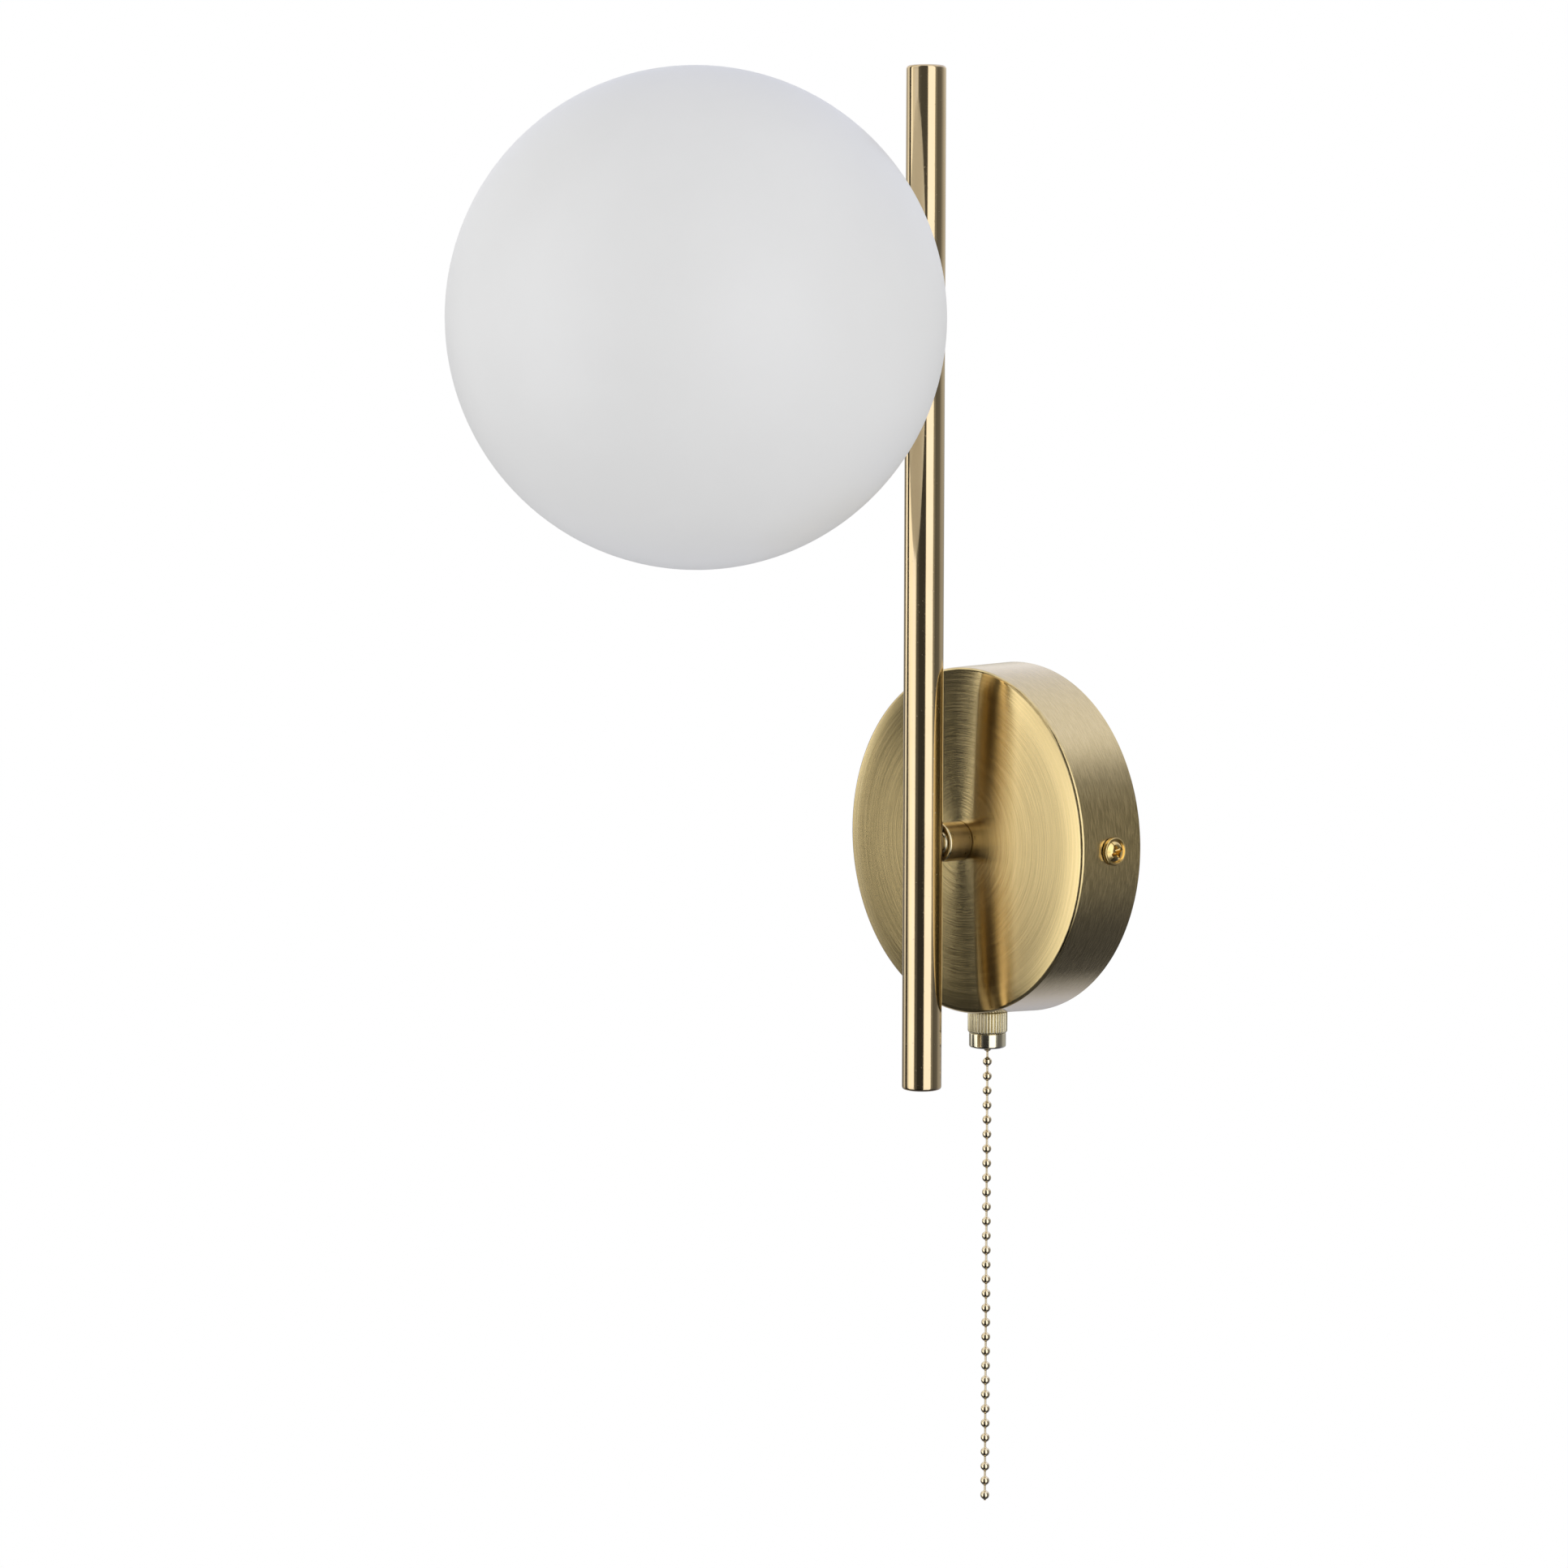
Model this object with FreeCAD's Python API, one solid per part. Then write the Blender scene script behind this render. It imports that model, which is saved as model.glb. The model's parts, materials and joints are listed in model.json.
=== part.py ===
"""Globe wall sconce with a ball pull chain.

A round brass wall plate carries an upright brass tube on a short spacer. An opal glass globe screws
into a cup on the tube's front, near its top, and a pull switch hangs its chain under the plate.

Units are millimetres. The origin is the centre of the wall plate's back, +Z is up, +X is to the
right as one faces the lamp, and the wall is the plane y = 0 with the lamp on its -Y side. The word
out means a distance from the wall, so a point with out = 25 lies at y = -25.
"""

import FreeCAD
import Part
import math
import os

V = FreeCAD.Vector

# Wall plate, a drawn cup that tapers a little towards its face
plate_wall_r = 56.0
plate_face_r = 55.0
plate_depth = 25.4
plate_sheet = 1.0
plate_edge = 1.5

# Upright tube and its plugs
tube_r = 6.25
tube_sheet = 1.0
tube_top = 242.7
tube_bottom = -78.0
plug_head = 1.8
plug_edge = 1.2
plug_length = 6.0
plug_clearance = 0.05

# Spacer and hollow threaded nipples
spacer_r = 6.25
spacer_length = 9.25
spacer_edge = 1.2
nipple_r = 3.0
nipple_bore = 2.1
thread_clearance = 0.05
rear_nipple_inside = 8.0
nipple_past_sheet = 0.4
nut_flats = 10.0
nut_height = 3.0
washer_r = 6.5
washer_height = 0.8

# Cup that holds the globe
arm_z = 162.9
boss_r = 6.0
boss_length = 2.25
cup_r = 17.3
cup_sheet = 1.2
cup_length = 8.2
cup_edge = 0.8
gasket_height = 0.8
gasket_width = 2.4
seat_gap = 0.2

# Glass globe with its screw neck
globe_r = 75.0
glass = 3.0
neck_clearance = 0.35
neck_lip = 0.8
globe_gap = 0.95

# Lamp holder for a bulb with two loop pins
strap_sheet = 0.8
strap_width = 6.0
holder_r = 9.5
holder_length = 20.0
holder_back_gap = 7.0
nipple_exit = 1.0
holder_exit = 1.4
holder_fit = 0.1
holder_slot_width = 14.8
holder_slot_height = 5.2
holder_slot_depth = 7.5
pin_spacing = 9.0
pocket_r = 2.0
pocket_depth = 8.5
clip_sheet = 0.3
clip_width = 2.0
clip_gap = 1.5
holder_screw_inset = 4.0
holder_screw_r = 1.2
holder_screw_head_r = 2.1
holder_screw_head = 1.0
holder_screw_length = 3.5

# Bulb
bulb_clearance = 0.4
bulb_r = 8.5
bulb_foot_r = 7.4
bulb_base_length = 10.0
bulb_cover_length = 40.0
bulb_cover_sheet = 0.8
pin_wire_r = 0.375
pin_loop = 1.6
pin_length = 6.2
board_sheet = 1.6
board_width = 10.0
board_length = 31.0

# Wall bracket, a bent strip with a round middle and a tab for the terminals
bracket_sheet = 1.5
bracket_width = 16.0
bracket_disc_r = 17.0
bracket_hole_r = 10.0
bracket_bend = 1.0
ear_width = 12.0
ear_past_screw = 6.5
ear_gap = 0.3
slot_spacing = 70.0
slot_length = 12.0
slot_width = 4.6
tab_width = 18.0
tab_top = 38.0
tab_margin = 2.0

# Side screws through the plate's rim
screw_out = 11.5
screw_r = 2.0
screw_clearance = 0.2
screw_head_r = 4.35
screw_head = 2.1
screw_head_round = 1.45
screw_length = 7.5
head_seat_gap = 0.05
cross_length = 5.2
cross_width = 1.1
cross_depth = 1.2

# Earth screw and lug on the bracket
earth_x = 22.5
earth_head_r = 3.6
earth_head = 1.8
earth_head_round = 0.9
lug_r = 3.6
lug_sheet = 0.8
lug_barrel_r = 1.5
lug_barrel_length = 5.0
lug_gap = 0.3

# Terminal block
pole_count = 3
pole_pitch = 8.0
terminal_height = 16.0
terminal_depth = 13.0
terminal_margin = 1.0
terminal_edge = 1.0
insert_r = 2.1
insert_bore = 1.35
insert_fit = 0.05
insert_inset = 1.0
groove_width = 1.3
groove_depth = 3.0
terminal_screw_r = 1.2
terminal_screw_inset = 4.0
terminal_screw_sink = 1.5
fixing_screw_r = 1.4
fixing_head_r = 2.4
fixing_head = 1.4

# Wires
wire_r = 0.9
wire_side = 1.05
wire_grip = 3.0
plate_bend = 7.0
tube_bend = 4.5
holder_bend = 4.0
switch_rise = 8.0
lead_turn_z = 10.0
lead_cross_z = -14.0
live_turn_z = -10.0
live_step_x = 4.0
live_step_out = 2.0

# Pull switch
switch_out = 13.0
case_width = 20.0
case_depth = 17.0
case_height = 18.5
case_wall = 1.5
case_floor = 2.0
case_corner = 3.0
case_cover = 1.5
bushing_r = 4.75
bushing_bore = 2.5
shoulder_r = 7.0
shoulder_height = 1.6
shoulder_gap = 0.05
stake_r = 5.6
stake_height = 1.0
knurl_r = 6.35
knurl_height = 7.3
knurl_depth = 0.35
knurl_ribs = 36
knurl_edge = 0.6
knurl_seat_gap = 0.05
seat_flat_depth = 0.54
seat_flat_margin = 0.25
seat_pad_margin = 1.25
collar_r = 5.9
collar_height = 4.7
collar_edge = 0.8
collar_floor = 0.8
mouth_r = 2.8
rod_clearance = 0.08
pull_head_r = 4.6
pull_head = 1.4
rotor_gap = 0.3
rotor_r = 5.0
rotor_height = 1.3
rotor_pin_r = 1.8
rotor_pin_gap = 0.05
ratchet_teeth = 4
ratchet_height = 0.5
tooth_start = 2.0
tooth_end = 4.5
tooth_width = 1.0
spring_wire_r = 0.3
spring_r = 3.6
spring_turns = 6
spring_point_count = 36
spring_gap = 0.05
contact_sheet = 0.4
contact_width = 4.0
contact_drop = 3.0
contact_gap = 0.4
cover_hole_r = 1.2
switch_wire_x = 5.5

# Ball chain
bead_r = 1.45
bead_pitch = 4.7
bead_count = 31
run_bead_count = 8
link_r = 0.35
link_ball_r = 0.6
ball_clearance = 0.05
ball_centre = 1.1
socket_rim = 0.35
bead_above_mouth = 0.05
bead_count_inside = 2
tail_length = 0.3


def rim_r(out):
    """Outer radius of the tapered rim at a distance from the wall."""
    return plate_wall_r - (plate_wall_r - plate_face_r) * out / plate_depth


def widest_rim(out, reach):
    """Largest outer radius of the rim within a reach of a distance from the wall."""
    return max(rim_r(out - reach), rim_r(out + reach))


# Places that follow from the sizes above
tube_out = plate_depth + spacer_length + tube_r
tube_bore = tube_r - tube_sheet
boss_front = tube_out + tube_r + boss_length
cup_front = boss_front + cup_length
cup_floor = boss_front + cup_sheet
cup_bore = cup_r - cup_sheet
neck_r = cup_bore - neck_clearance
neck_bore = neck_r - glass
neck_back = cup_floor + gasket_height + seat_gap
globe_out = cup_front + globe_gap + math.sqrt(globe_r**2 - neck_r**2)
cup_nut_back = cup_floor + strap_sheet
front_nipple_end = cup_nut_back + nut_height + nipple_past_sheet
holder_back = front_nipple_end + holder_back_gap
holder_front = holder_back + holder_length
slot_floor = holder_front - holder_slot_depth
pocket_floor = slot_floor - pocket_depth
holder_screw_out = holder_back + holder_screw_inset
bulb_foot = holder_front + bulb_clearance
bulb_cover_back = bulb_foot + bulb_base_length
ear_rim = min(plate_wall_r, plate_face_r) - plate_sheet
ear_face_x = math.sqrt(ear_rim**2 - (ear_width / 2) ** 2) - ear_gap
terminal_width = pole_count * pole_pitch + 2 * terminal_margin
terminal_base = tab_top - terminal_height - tab_margin
insert_low = terminal_base + insert_inset
wire_hole_out = bracket_sheet + terminal_depth / 2
barrel_x = earth_x - earth_head_r - lug_gap
barrel_y = -(bracket_sheet + lug_barrel_r)
switch_y = -switch_out
seat_flat_z = -(rim_r(switch_out) - seat_flat_depth)
seat_pad_z = seat_flat_z + plate_sheet
knurl_top = seat_flat_z - knurl_seat_gap
knurl_bottom = knurl_top - knurl_height
mouth_z = knurl_bottom - collar_height
shoulder_bottom = seat_pad_z + shoulder_gap
case_bottom = shoulder_bottom + shoulder_height
case_inside = case_bottom + case_floor
case_top = case_bottom + case_height
cover_top = case_top + case_cover
rotor_top = case_top - rotor_gap
rotor_bottom = rotor_top - rotor_height
pull_top = rotor_bottom - ratchet_height - rotor_gap
spring_top = pull_top - pull_head - spring_gap
spring_bottom = case_inside + stake_height + spring_gap
bead_zero_z = mouth_z + bead_above_mouth
tube_bends = [plate_bend, tube_bend, tube_bend, holder_bend, holder_bend]


def out_bar(radius, start, end, x=0.0, z=0.0):
    """Round bar square to the wall, between two distances out from it."""
    return Part.makeCylinder(radius, end - start, V(x, -start, z), V(0, -1, 0))


def upright_bar(radius, low, high, x=0.0, y=0.0):
    """Round bar along Z between two heights."""
    return Part.makeCylinder(radius, high - low, V(x, y, low))


def block(left, right, back, front, low, high):
    """Box between two X values, two distances out from the wall and two heights."""
    return Part.makeBox(right - left, front - back, high - low, V(left, -front, low))


def rounded(solid, radius, chosen):
    """Fillet the edges that the test picks."""
    return solid.makeFillet(radius, [edge for edge in solid.Edges if chosen(edge)])


def chamfered(solid, size, chosen):
    """Chamfer the edges that the test picks."""
    return solid.makeChamfer(size, [edge for edge in solid.Edges if chosen(edge)])


def is_circle(edge, radius, axis, place):
    """True for a full circle of this radius whose centre has this place along the axis."""
    if edge.Degenerated or not edge.Closed or not isinstance(edge.Curve, Part.Circle):
        return False
    centre = edge.Curve.Center
    along = {"x": centre.x, "y": centre.y, "z": centre.z}[axis]
    return abs(edge.Curve.Radius - radius) < 1e-4 and abs(along - place) < 1e-4


def hexagon(flats, start, end, z):
    """Hexagonal bar square to the wall."""
    corner = flats / math.sqrt(3)
    points = [
        V(corner * math.cos(math.radians(60 * i)), -start, z + corner * math.sin(math.radians(60 * i)))
        for i in range(7)
    ]
    return Part.Face(Part.makePolygon(points)).extrude(V(0, start - end, 0))


def nut(start, z):
    """Hexagonal nut on a nipple."""
    body = hexagon(nut_flats, start, start + nut_height, z)
    return body.cut(out_bar(nipple_r + thread_clearance, start - 1, start + nut_height + 1, z=z))


def tangent_arc(start, corner, end):
    """Arc from start to end that touches both equal legs of the corner."""
    half_turn = (corner - start).getAngle(end - corner) / 2
    bend = (corner - start).Length / math.tan(half_turn)
    inward = ((start + end) * 0.5 - corner).normalize()
    middle = corner + inward * (bend / math.cos(half_turn) - bend)
    return Part.Arc(start, middle, end).toShape()


def sweep_round(edges, start, along, radius):
    """Round bar along a path of edges that starts at a point in a direction."""
    section = Part.Wire(Part.Circle(start, along, radius).toShape())
    return Part.Wire(edges).makePipeShell([section], True, False)


def wire_tube(points, bends):
    """Insulated wire along straight runs joined by tangent arcs, one bend radius for each corner."""
    edges = []
    last = points[0]
    for before, corner, after, bend in zip(points, points[1:], points[2:], bends):
        way_in = (corner - before).normalize()
        way_out = (after - corner).normalize()
        reach = bend * math.tan(way_in.getAngle(way_out) / 2)
        start = corner - way_in * reach
        end = corner + way_out * reach
        edges.append(Part.LineSegment(last, start).toShape())
        edges.append(tangent_arc(start, corner, end))
        last = end
    edges.append(Part.LineSegment(last, points[-1]).toShape())
    return sweep_round(edges, points[0], points[1] - points[0], wire_r)


def make_wall_plate():
    """Drawn cup, open at the wall, with a flat in its rim for the switch and its holes."""
    shell = Part.makeCone(plate_wall_r, plate_face_r, plate_depth, V(0, 0, 0), V(0, -1, 0))
    shell = rounded(shell, plate_edge, lambda e: is_circle(e, plate_face_r, "y", -plate_depth))
    inner_depth = plate_depth - plate_sheet
    inner_face_r = rim_r(inner_depth) - plate_sheet
    hollow = Part.makeCone(
        plate_wall_r - plate_sheet, inner_face_r, inner_depth, V(0, 0, 0), V(0, -1, 0)
    )
    inner_edge = plate_edge - plate_sheet
    hollow = rounded(hollow, inner_edge, lambda e: is_circle(e, inner_face_r, "y", -inner_depth))
    shell = shell.cut(hollow)
    shell = shell.cut(out_bar(nipple_r + thread_clearance, inner_depth - 1, plate_depth + 1))
    shell = shell.fuse(upright_bar(knurl_r + seat_pad_margin, seat_flat_z, seat_pad_z, y=switch_y))
    shell = shell.cut(upright_bar(knurl_r + seat_flat_margin, knurl_bottom, seat_flat_z, y=switch_y))
    shell = shell.cut(upright_bar(bushing_r + thread_clearance, knurl_bottom, case_bottom, y=switch_y))
    reach = max(plate_wall_r, plate_face_r) + screw_r
    hole_r = screw_r + screw_clearance
    start = V(-reach, -screw_out, 0)
    return shell.cut(Part.makeCylinder(hole_r, 2 * reach, start, V(1, 0, 0)))


def make_spacer():
    """Turned spacer between the plate and the tube, with the nipple through it."""
    front = plate_depth + spacer_length
    body = out_bar(spacer_r, plate_depth, front)
    body = chamfered(body, spacer_edge, lambda e: is_circle(e, spacer_r, "y", -front))
    return body.cut(out_bar(nipple_r + thread_clearance, plate_depth - 1, front + 1))


def make_tube():
    """Upright tube with a hole for each nipple."""
    low = tube_bottom + plug_head
    high = tube_top - plug_head
    body = upright_bar(tube_r, low, high, y=-tube_out)
    body = body.cut(upright_bar(tube_bore, low - 1, high + 1, y=-tube_out))
    hole = nipple_r + thread_clearance
    body = body.cut(out_bar(hole, tube_out - tube_r - 1, tube_out))
    return body.cut(out_bar(hole, tube_out, tube_out + tube_r + 1, z=arm_z))


def make_plug(end, inward):
    """Plug in one end of the tube; inward is +1 where the tube lies above it, -1 where below."""
    shoulder = end + inward * plug_head
    tip = shoulder + inward * plug_length
    head = upright_bar(tube_r, min(end, shoulder), max(end, shoulder), y=-tube_out)
    head = rounded(head, plug_edge, lambda e: is_circle(e, tube_r, "z", end))
    stem = upright_bar(
        tube_bore - plug_clearance, min(shoulder, tip), max(shoulder, tip), y=-tube_out
    )
    return head.fuse(stem)


def make_nipple(start, end, z):
    """Hollow threaded nipple that clamps pieces together and lets the wires through."""
    return out_bar(nipple_r, start, end, z=z).cut(out_bar(nipple_bore, start - 1, end + 1, z=z))


def make_washer(start):
    """Flat washer under the rear nut."""
    ring = out_bar(washer_r, start, start + washer_height)
    return ring.cut(out_bar(nipple_r + thread_clearance, start - 1, start + washer_height + 1))


def make_arm_boss():
    """Short boss, saddled on the tube, that stands the cup off it."""
    body = out_bar(boss_r, tube_out, boss_front, z=arm_z)
    body = body.cut(upright_bar(tube_r, arm_z - 2 * boss_r, arm_z + 2 * boss_r, y=-tube_out))
    return body.cut(out_bar(nipple_r + thread_clearance, tube_out, boss_front + 1, z=arm_z))


def make_globe_cup():
    """Turned cup whose bore takes the globe's neck."""
    body = out_bar(cup_r, boss_front, cup_front, z=arm_z)
    body = rounded(body, cup_edge, lambda e: is_circle(e, cup_r, "y", -boss_front))
    body = body.cut(out_bar(cup_bore, cup_floor, cup_front + 1, z=arm_z))
    return body.cut(out_bar(nipple_r + thread_clearance, boss_front - 1, cup_floor + 1, z=arm_z))


def make_gasket():
    """Soft ring that the end of the glass neck seats on."""
    outer = out_bar(neck_r, cup_floor, cup_floor + gasket_height, z=arm_z)
    inner = out_bar(neck_r - gasket_width, cup_floor - 1, cup_floor + gasket_height + 1, z=arm_z)
    return outer.cut(inner)


def make_globe():
    """Hollow glass ball with a straight neck, turned from one profile."""
    inner_r = globe_r - glass
    outer_join = globe_out - math.sqrt(globe_r**2 - neck_r**2)
    inner_join = globe_out - math.sqrt(inner_r**2 - neck_bore**2)

    def at(radius, out):
        return V(radius, -out, arm_z)

    edges = [
        Part.Arc(at(0, globe_out + globe_r), at(globe_r, globe_out), at(neck_r, outer_join)).toShape(),
        Part.LineSegment(at(neck_r, outer_join), at(neck_r, neck_back)).toShape(),
        Part.LineSegment(at(neck_r, neck_back), at(neck_bore, neck_back)).toShape(),
        Part.LineSegment(at(neck_bore, neck_back), at(neck_bore, inner_join)).toShape(),
        Part.Arc(at(neck_bore, inner_join), at(inner_r, globe_out), at(0, globe_out + inner_r)).toShape(),
        Part.LineSegment(at(0, globe_out + inner_r), at(0, globe_out + globe_r)).toShape(),
    ]
    profile = Part.Face(Part.Wire(edges))
    ball = profile.revolve(V(0, 0, arm_z), V(0, 1, 0), 360)
    ball = rounded(ball, neck_lip, lambda e: is_circle(e, neck_r, "y", -neck_back))
    return rounded(ball, neck_lip, lambda e: is_circle(e, neck_r, "y", -outer_join))


def make_holder_strap():
    """Bent strap, clamped under the cup's nut, whose two arms hold the lamp holder."""
    inside = holder_r + holder_fit
    half = strap_width / 2
    reach = holder_back + holder_length / 2
    base = block(-half, half, cup_floor, cup_nut_back, arm_z - inside, arm_z + inside)
    strap = base.fuse(out_bar(washer_r, cup_floor, cup_nut_back, z=arm_z))
    for side in (-1, 1):
        low, high = sorted((arm_z + side * inside, arm_z + side * (inside + strap_sheet)))
        strap = strap.fuse(block(-half, half, cup_floor, reach, low, high))
    strap = strap.cut(out_bar(nipple_r + thread_clearance, cup_floor - 1, cup_nut_back + 1, z=arm_z))
    return strap.cut(holder_screw_line(holder_screw_r + thread_clearance)).removeSplitter()


def holder_screw_line(radius):
    """Upright bar on the line of the lamp holder's two screws."""
    reach = holder_r + holder_fit + strap_sheet + 1
    return upright_bar(radius, arm_z - reach, arm_z + reach, y=-holder_screw_out)


def make_lamp_holder():
    """Ceramic lamp holder with a slot for the bulb's foot and a pocket for each pin."""
    body = out_bar(holder_r, holder_back, holder_front, z=arm_z)
    half_slot = holder_slot_width / 2
    half_height = holder_slot_height / 2
    body = body.cut(
        block(-half_slot, half_slot, slot_floor, holder_front + 1, arm_z - half_height, arm_z + half_height)
    )
    for side in (-1, 1):
        x = side * pin_spacing / 2
        body = body.cut(out_bar(pocket_r, pocket_floor, slot_floor + 1, x=x, z=arm_z))
        body = body.cut(out_bar(wire_r + thread_clearance, holder_back - 1, pocket_floor + 1, x=x, z=arm_z))
    core = holder_r - holder_screw_length
    cut = holder_screw_line(holder_screw_r + thread_clearance)
    cut = cut.cut(out_bar(core, holder_back, holder_front, z=arm_z))
    return body.cut(cut)


def make_holder_screws():
    """Two screws through the strap's arms into the ceramic."""
    y = -holder_screw_out
    seat = holder_r + holder_fit + strap_sheet
    tip = holder_r - holder_screw_length + holder_fit
    screws = []
    for side in (-1, 1):
        up = V(0, 0, side)
        shank = Part.makeCylinder(holder_screw_r, seat - tip, V(0, y, arm_z + side * tip), up)
        head = Part.makeCylinder(holder_screw_head_r, holder_screw_head, V(0, y, arm_z + side * seat), up)
        screws.append(shank.fuse(head))
    return Part.makeCompound(screws)


def make_holder_clips():
    """Two folded spring clips that grip the bulb's pins."""
    clips = []
    back = pocket_floor + wire_r
    front = slot_floor - clip_sheet
    for side in (-1, 1):
        x = side * pin_spacing / 2
        left = x - clip_width / 2
        right = x + clip_width / 2
        inner = clip_gap / 2
        outer = inner + clip_sheet
        clip = block(left, right, back, front, arm_z - outer, arm_z + outer)
        hollow = block(
            left - 1, right + 1, back + clip_sheet, front + 1, arm_z - inner, arm_z + inner
        )
        clips.append(clip.cut(hollow))
    return Part.makeCompound(clips)


def make_bulb_base():
    """Tapered bulb base with the flat foot that goes into the lamp holder's slot."""
    foot_back = slot_floor + bulb_clearance
    half_width = holder_slot_width / 2 - bulb_clearance
    half_height = holder_slot_height / 2 - bulb_clearance
    foot = block(-half_width, half_width, foot_back, bulb_foot, arm_z - half_height, arm_z + half_height)
    cone = Part.makeCone(bulb_foot_r, bulb_r, bulb_base_length, V(0, -bulb_foot, arm_z), V(0, -1, 0))
    return cone.fuse(foot)


def make_bulb_pins():
    """Two loops of wire that stand out of the bulb's foot."""
    pins = []
    root = slot_floor + bulb_clearance
    bend = root - pin_length + pin_loop / 2
    for side in (-1, 1):
        x = side * pin_spacing / 2
        left = V(x - pin_loop / 2, -root, arm_z)
        left_low = V(x - pin_loop / 2, -bend, arm_z)
        tip = V(x, -bend + pin_loop / 2, arm_z)
        right_low = V(x + pin_loop / 2, -bend, arm_z)
        right = V(x + pin_loop / 2, -root, arm_z)
        path = Part.Wire(
            [
                Part.LineSegment(left, left_low).toShape(),
                Part.Arc(left_low, tip, right_low).toShape(),
                Part.LineSegment(right_low, right).toShape(),
            ]
        )
        section = Part.Wire(Part.Circle(left, V(0, 1, 0), pin_wire_r).toShape())
        pins.append(path.makePipeShell([section], True, False))
    return Part.makeCompound(pins)


def domed_bar(radius, start, end):
    """Round bar square to the wall on the bulb's axis, with a domed front end."""
    shoulder = end - radius
    return out_bar(radius, start, shoulder, z=arm_z).fuse(Part.makeSphere(radius, V(0, -shoulder, arm_z)))


def make_bulb_cover():
    """Frosted cover, a tube with a domed end."""
    end = bulb_cover_back + bulb_cover_length
    outer = domed_bar(bulb_r, bulb_cover_back, end)
    inner = domed_bar(bulb_r - bulb_cover_sheet, bulb_cover_back - 1, end - bulb_cover_sheet)
    behind = block(-bulb_r, bulb_r, 0, bulb_cover_back, arm_z - bulb_r, arm_z + bulb_r)
    return outer.cut(inner).cut(behind).removeSplitter()


def make_bulb_board():
    """Board that carries the light sources inside the cover."""
    half = board_width / 2
    half_sheet = board_sheet / 2
    front = bulb_cover_back + board_length
    return block(-half, half, bulb_cover_back, front, arm_z - half_sheet, arm_z + half_sheet)


def make_bracket():
    """Strip with bent, threaded ears, a round middle for the cable and a tab for the terminals."""
    half = bracket_width / 2
    strip = block(-ear_face_x, ear_face_x, 0, bracket_sheet, -half, half)
    strip = strip.fuse(out_bar(bracket_disc_r, 0, bracket_sheet))
    strip = strip.fuse(block(-tab_width / 2, tab_width / 2, 0, bracket_sheet, 0, tab_top))
    ear_out = screw_out + ear_past_screw
    for side in (-1, 1):
        left, right = sorted((side * ear_face_x, side * (ear_face_x - bracket_sheet)))
        ear = block(left, right, 0, ear_out, -ear_width / 2, ear_width / 2)
        strip = strip.fuse(ear)
        strip = strip.cut(slot(side * slot_spacing / 2))
        thread = V(side * (ear_face_x + 1), -screw_out, 0)
        length = bracket_sheet + 2
        strip = strip.cut(Part.makeCylinder(screw_r + thread_clearance, length, thread, V(-side, 0, 0)))
    strip = strip.cut(out_bar(bracket_hole_r, -1, bracket_sheet + 1))
    strip = strip.cut(out_bar(screw_r + thread_clearance, -1, bracket_sheet + 1, x=earth_x))
    fixing_z = terminal_base + terminal_height / 2
    fixing = fixing_screw_r + thread_clearance
    strip = strip.cut(out_bar(fixing, -1, bracket_sheet + 1, x=pole_pitch / 2, z=fixing_z))
    strip = strip.removeSplitter()

    def inner_bend(edge):
        box = edge.BoundBox
        on_strip = abs(box.YMax + bracket_sheet) < 1e-4 and box.YLength < 1e-4
        upright = box.XLength < 1e-4 and box.ZLength > 1
        return on_strip and upright and abs(abs(box.XMax) - (ear_face_x - bracket_sheet)) < 1e-4

    return rounded(strip, bracket_bend, inner_bend)


def slot(x):
    """Slot along X for a wall screw."""
    radius = slot_width / 2
    straight = slot_length / 2 - radius
    cutter = block(x - straight, x + straight, -1, bracket_sheet + 1, -radius, radius)
    for end in (-1, 1):
        cutter = cutter.fuse(out_bar(radius, -1, bracket_sheet + 1, x=x + end * straight))
    return cutter


def make_side_screws():
    """Two pan-head screws that hold the plate on the bracket's ears."""
    seat = widest_rim(screw_out, screw_head_r) + head_seat_gap
    screws = []
    for side in (-1, 1):
        away = V(side, 0, 0)
        head = Part.makeCylinder(screw_head_r, screw_head, V(side * seat, -screw_out, 0), away)
        face = side * (seat + screw_head)
        head = rounded(head, screw_head_round, lambda e: is_circle(e, screw_head_r, "x", face))
        tip = V(side * (seat - screw_length), -screw_out, 0)
        shank = Part.makeCylinder(screw_r, screw_length, tip, away)
        screws.append(head.fuse(shank).cut(cross_recess(face, side)))
    return Part.makeCompound(screws)


def cross_recess(face, side):
    """Cross-shaped recess in a screw head that faces along X."""
    arm = cross_length / 2
    half = cross_width / 2
    left, right = sorted((face - side * cross_depth, face + side))
    upright = block(left, right, screw_out - half, screw_out + half, -arm, arm)
    level = block(left, right, screw_out - arm, screw_out + arm, -half, half)
    return upright.fuse(level)


def make_earth_screw():
    """Screw that clamps the earth lug to the bracket."""
    seat = bracket_sheet + lug_sheet
    head = out_bar(earth_head_r, seat, seat + earth_head, x=earth_x)
    face = -(seat + earth_head)
    head = rounded(head, earth_head_round, lambda e: is_circle(e, earth_head_r, "y", face))
    return head.fuse(out_bar(screw_r, thread_clearance, seat, x=earth_x))


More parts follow.
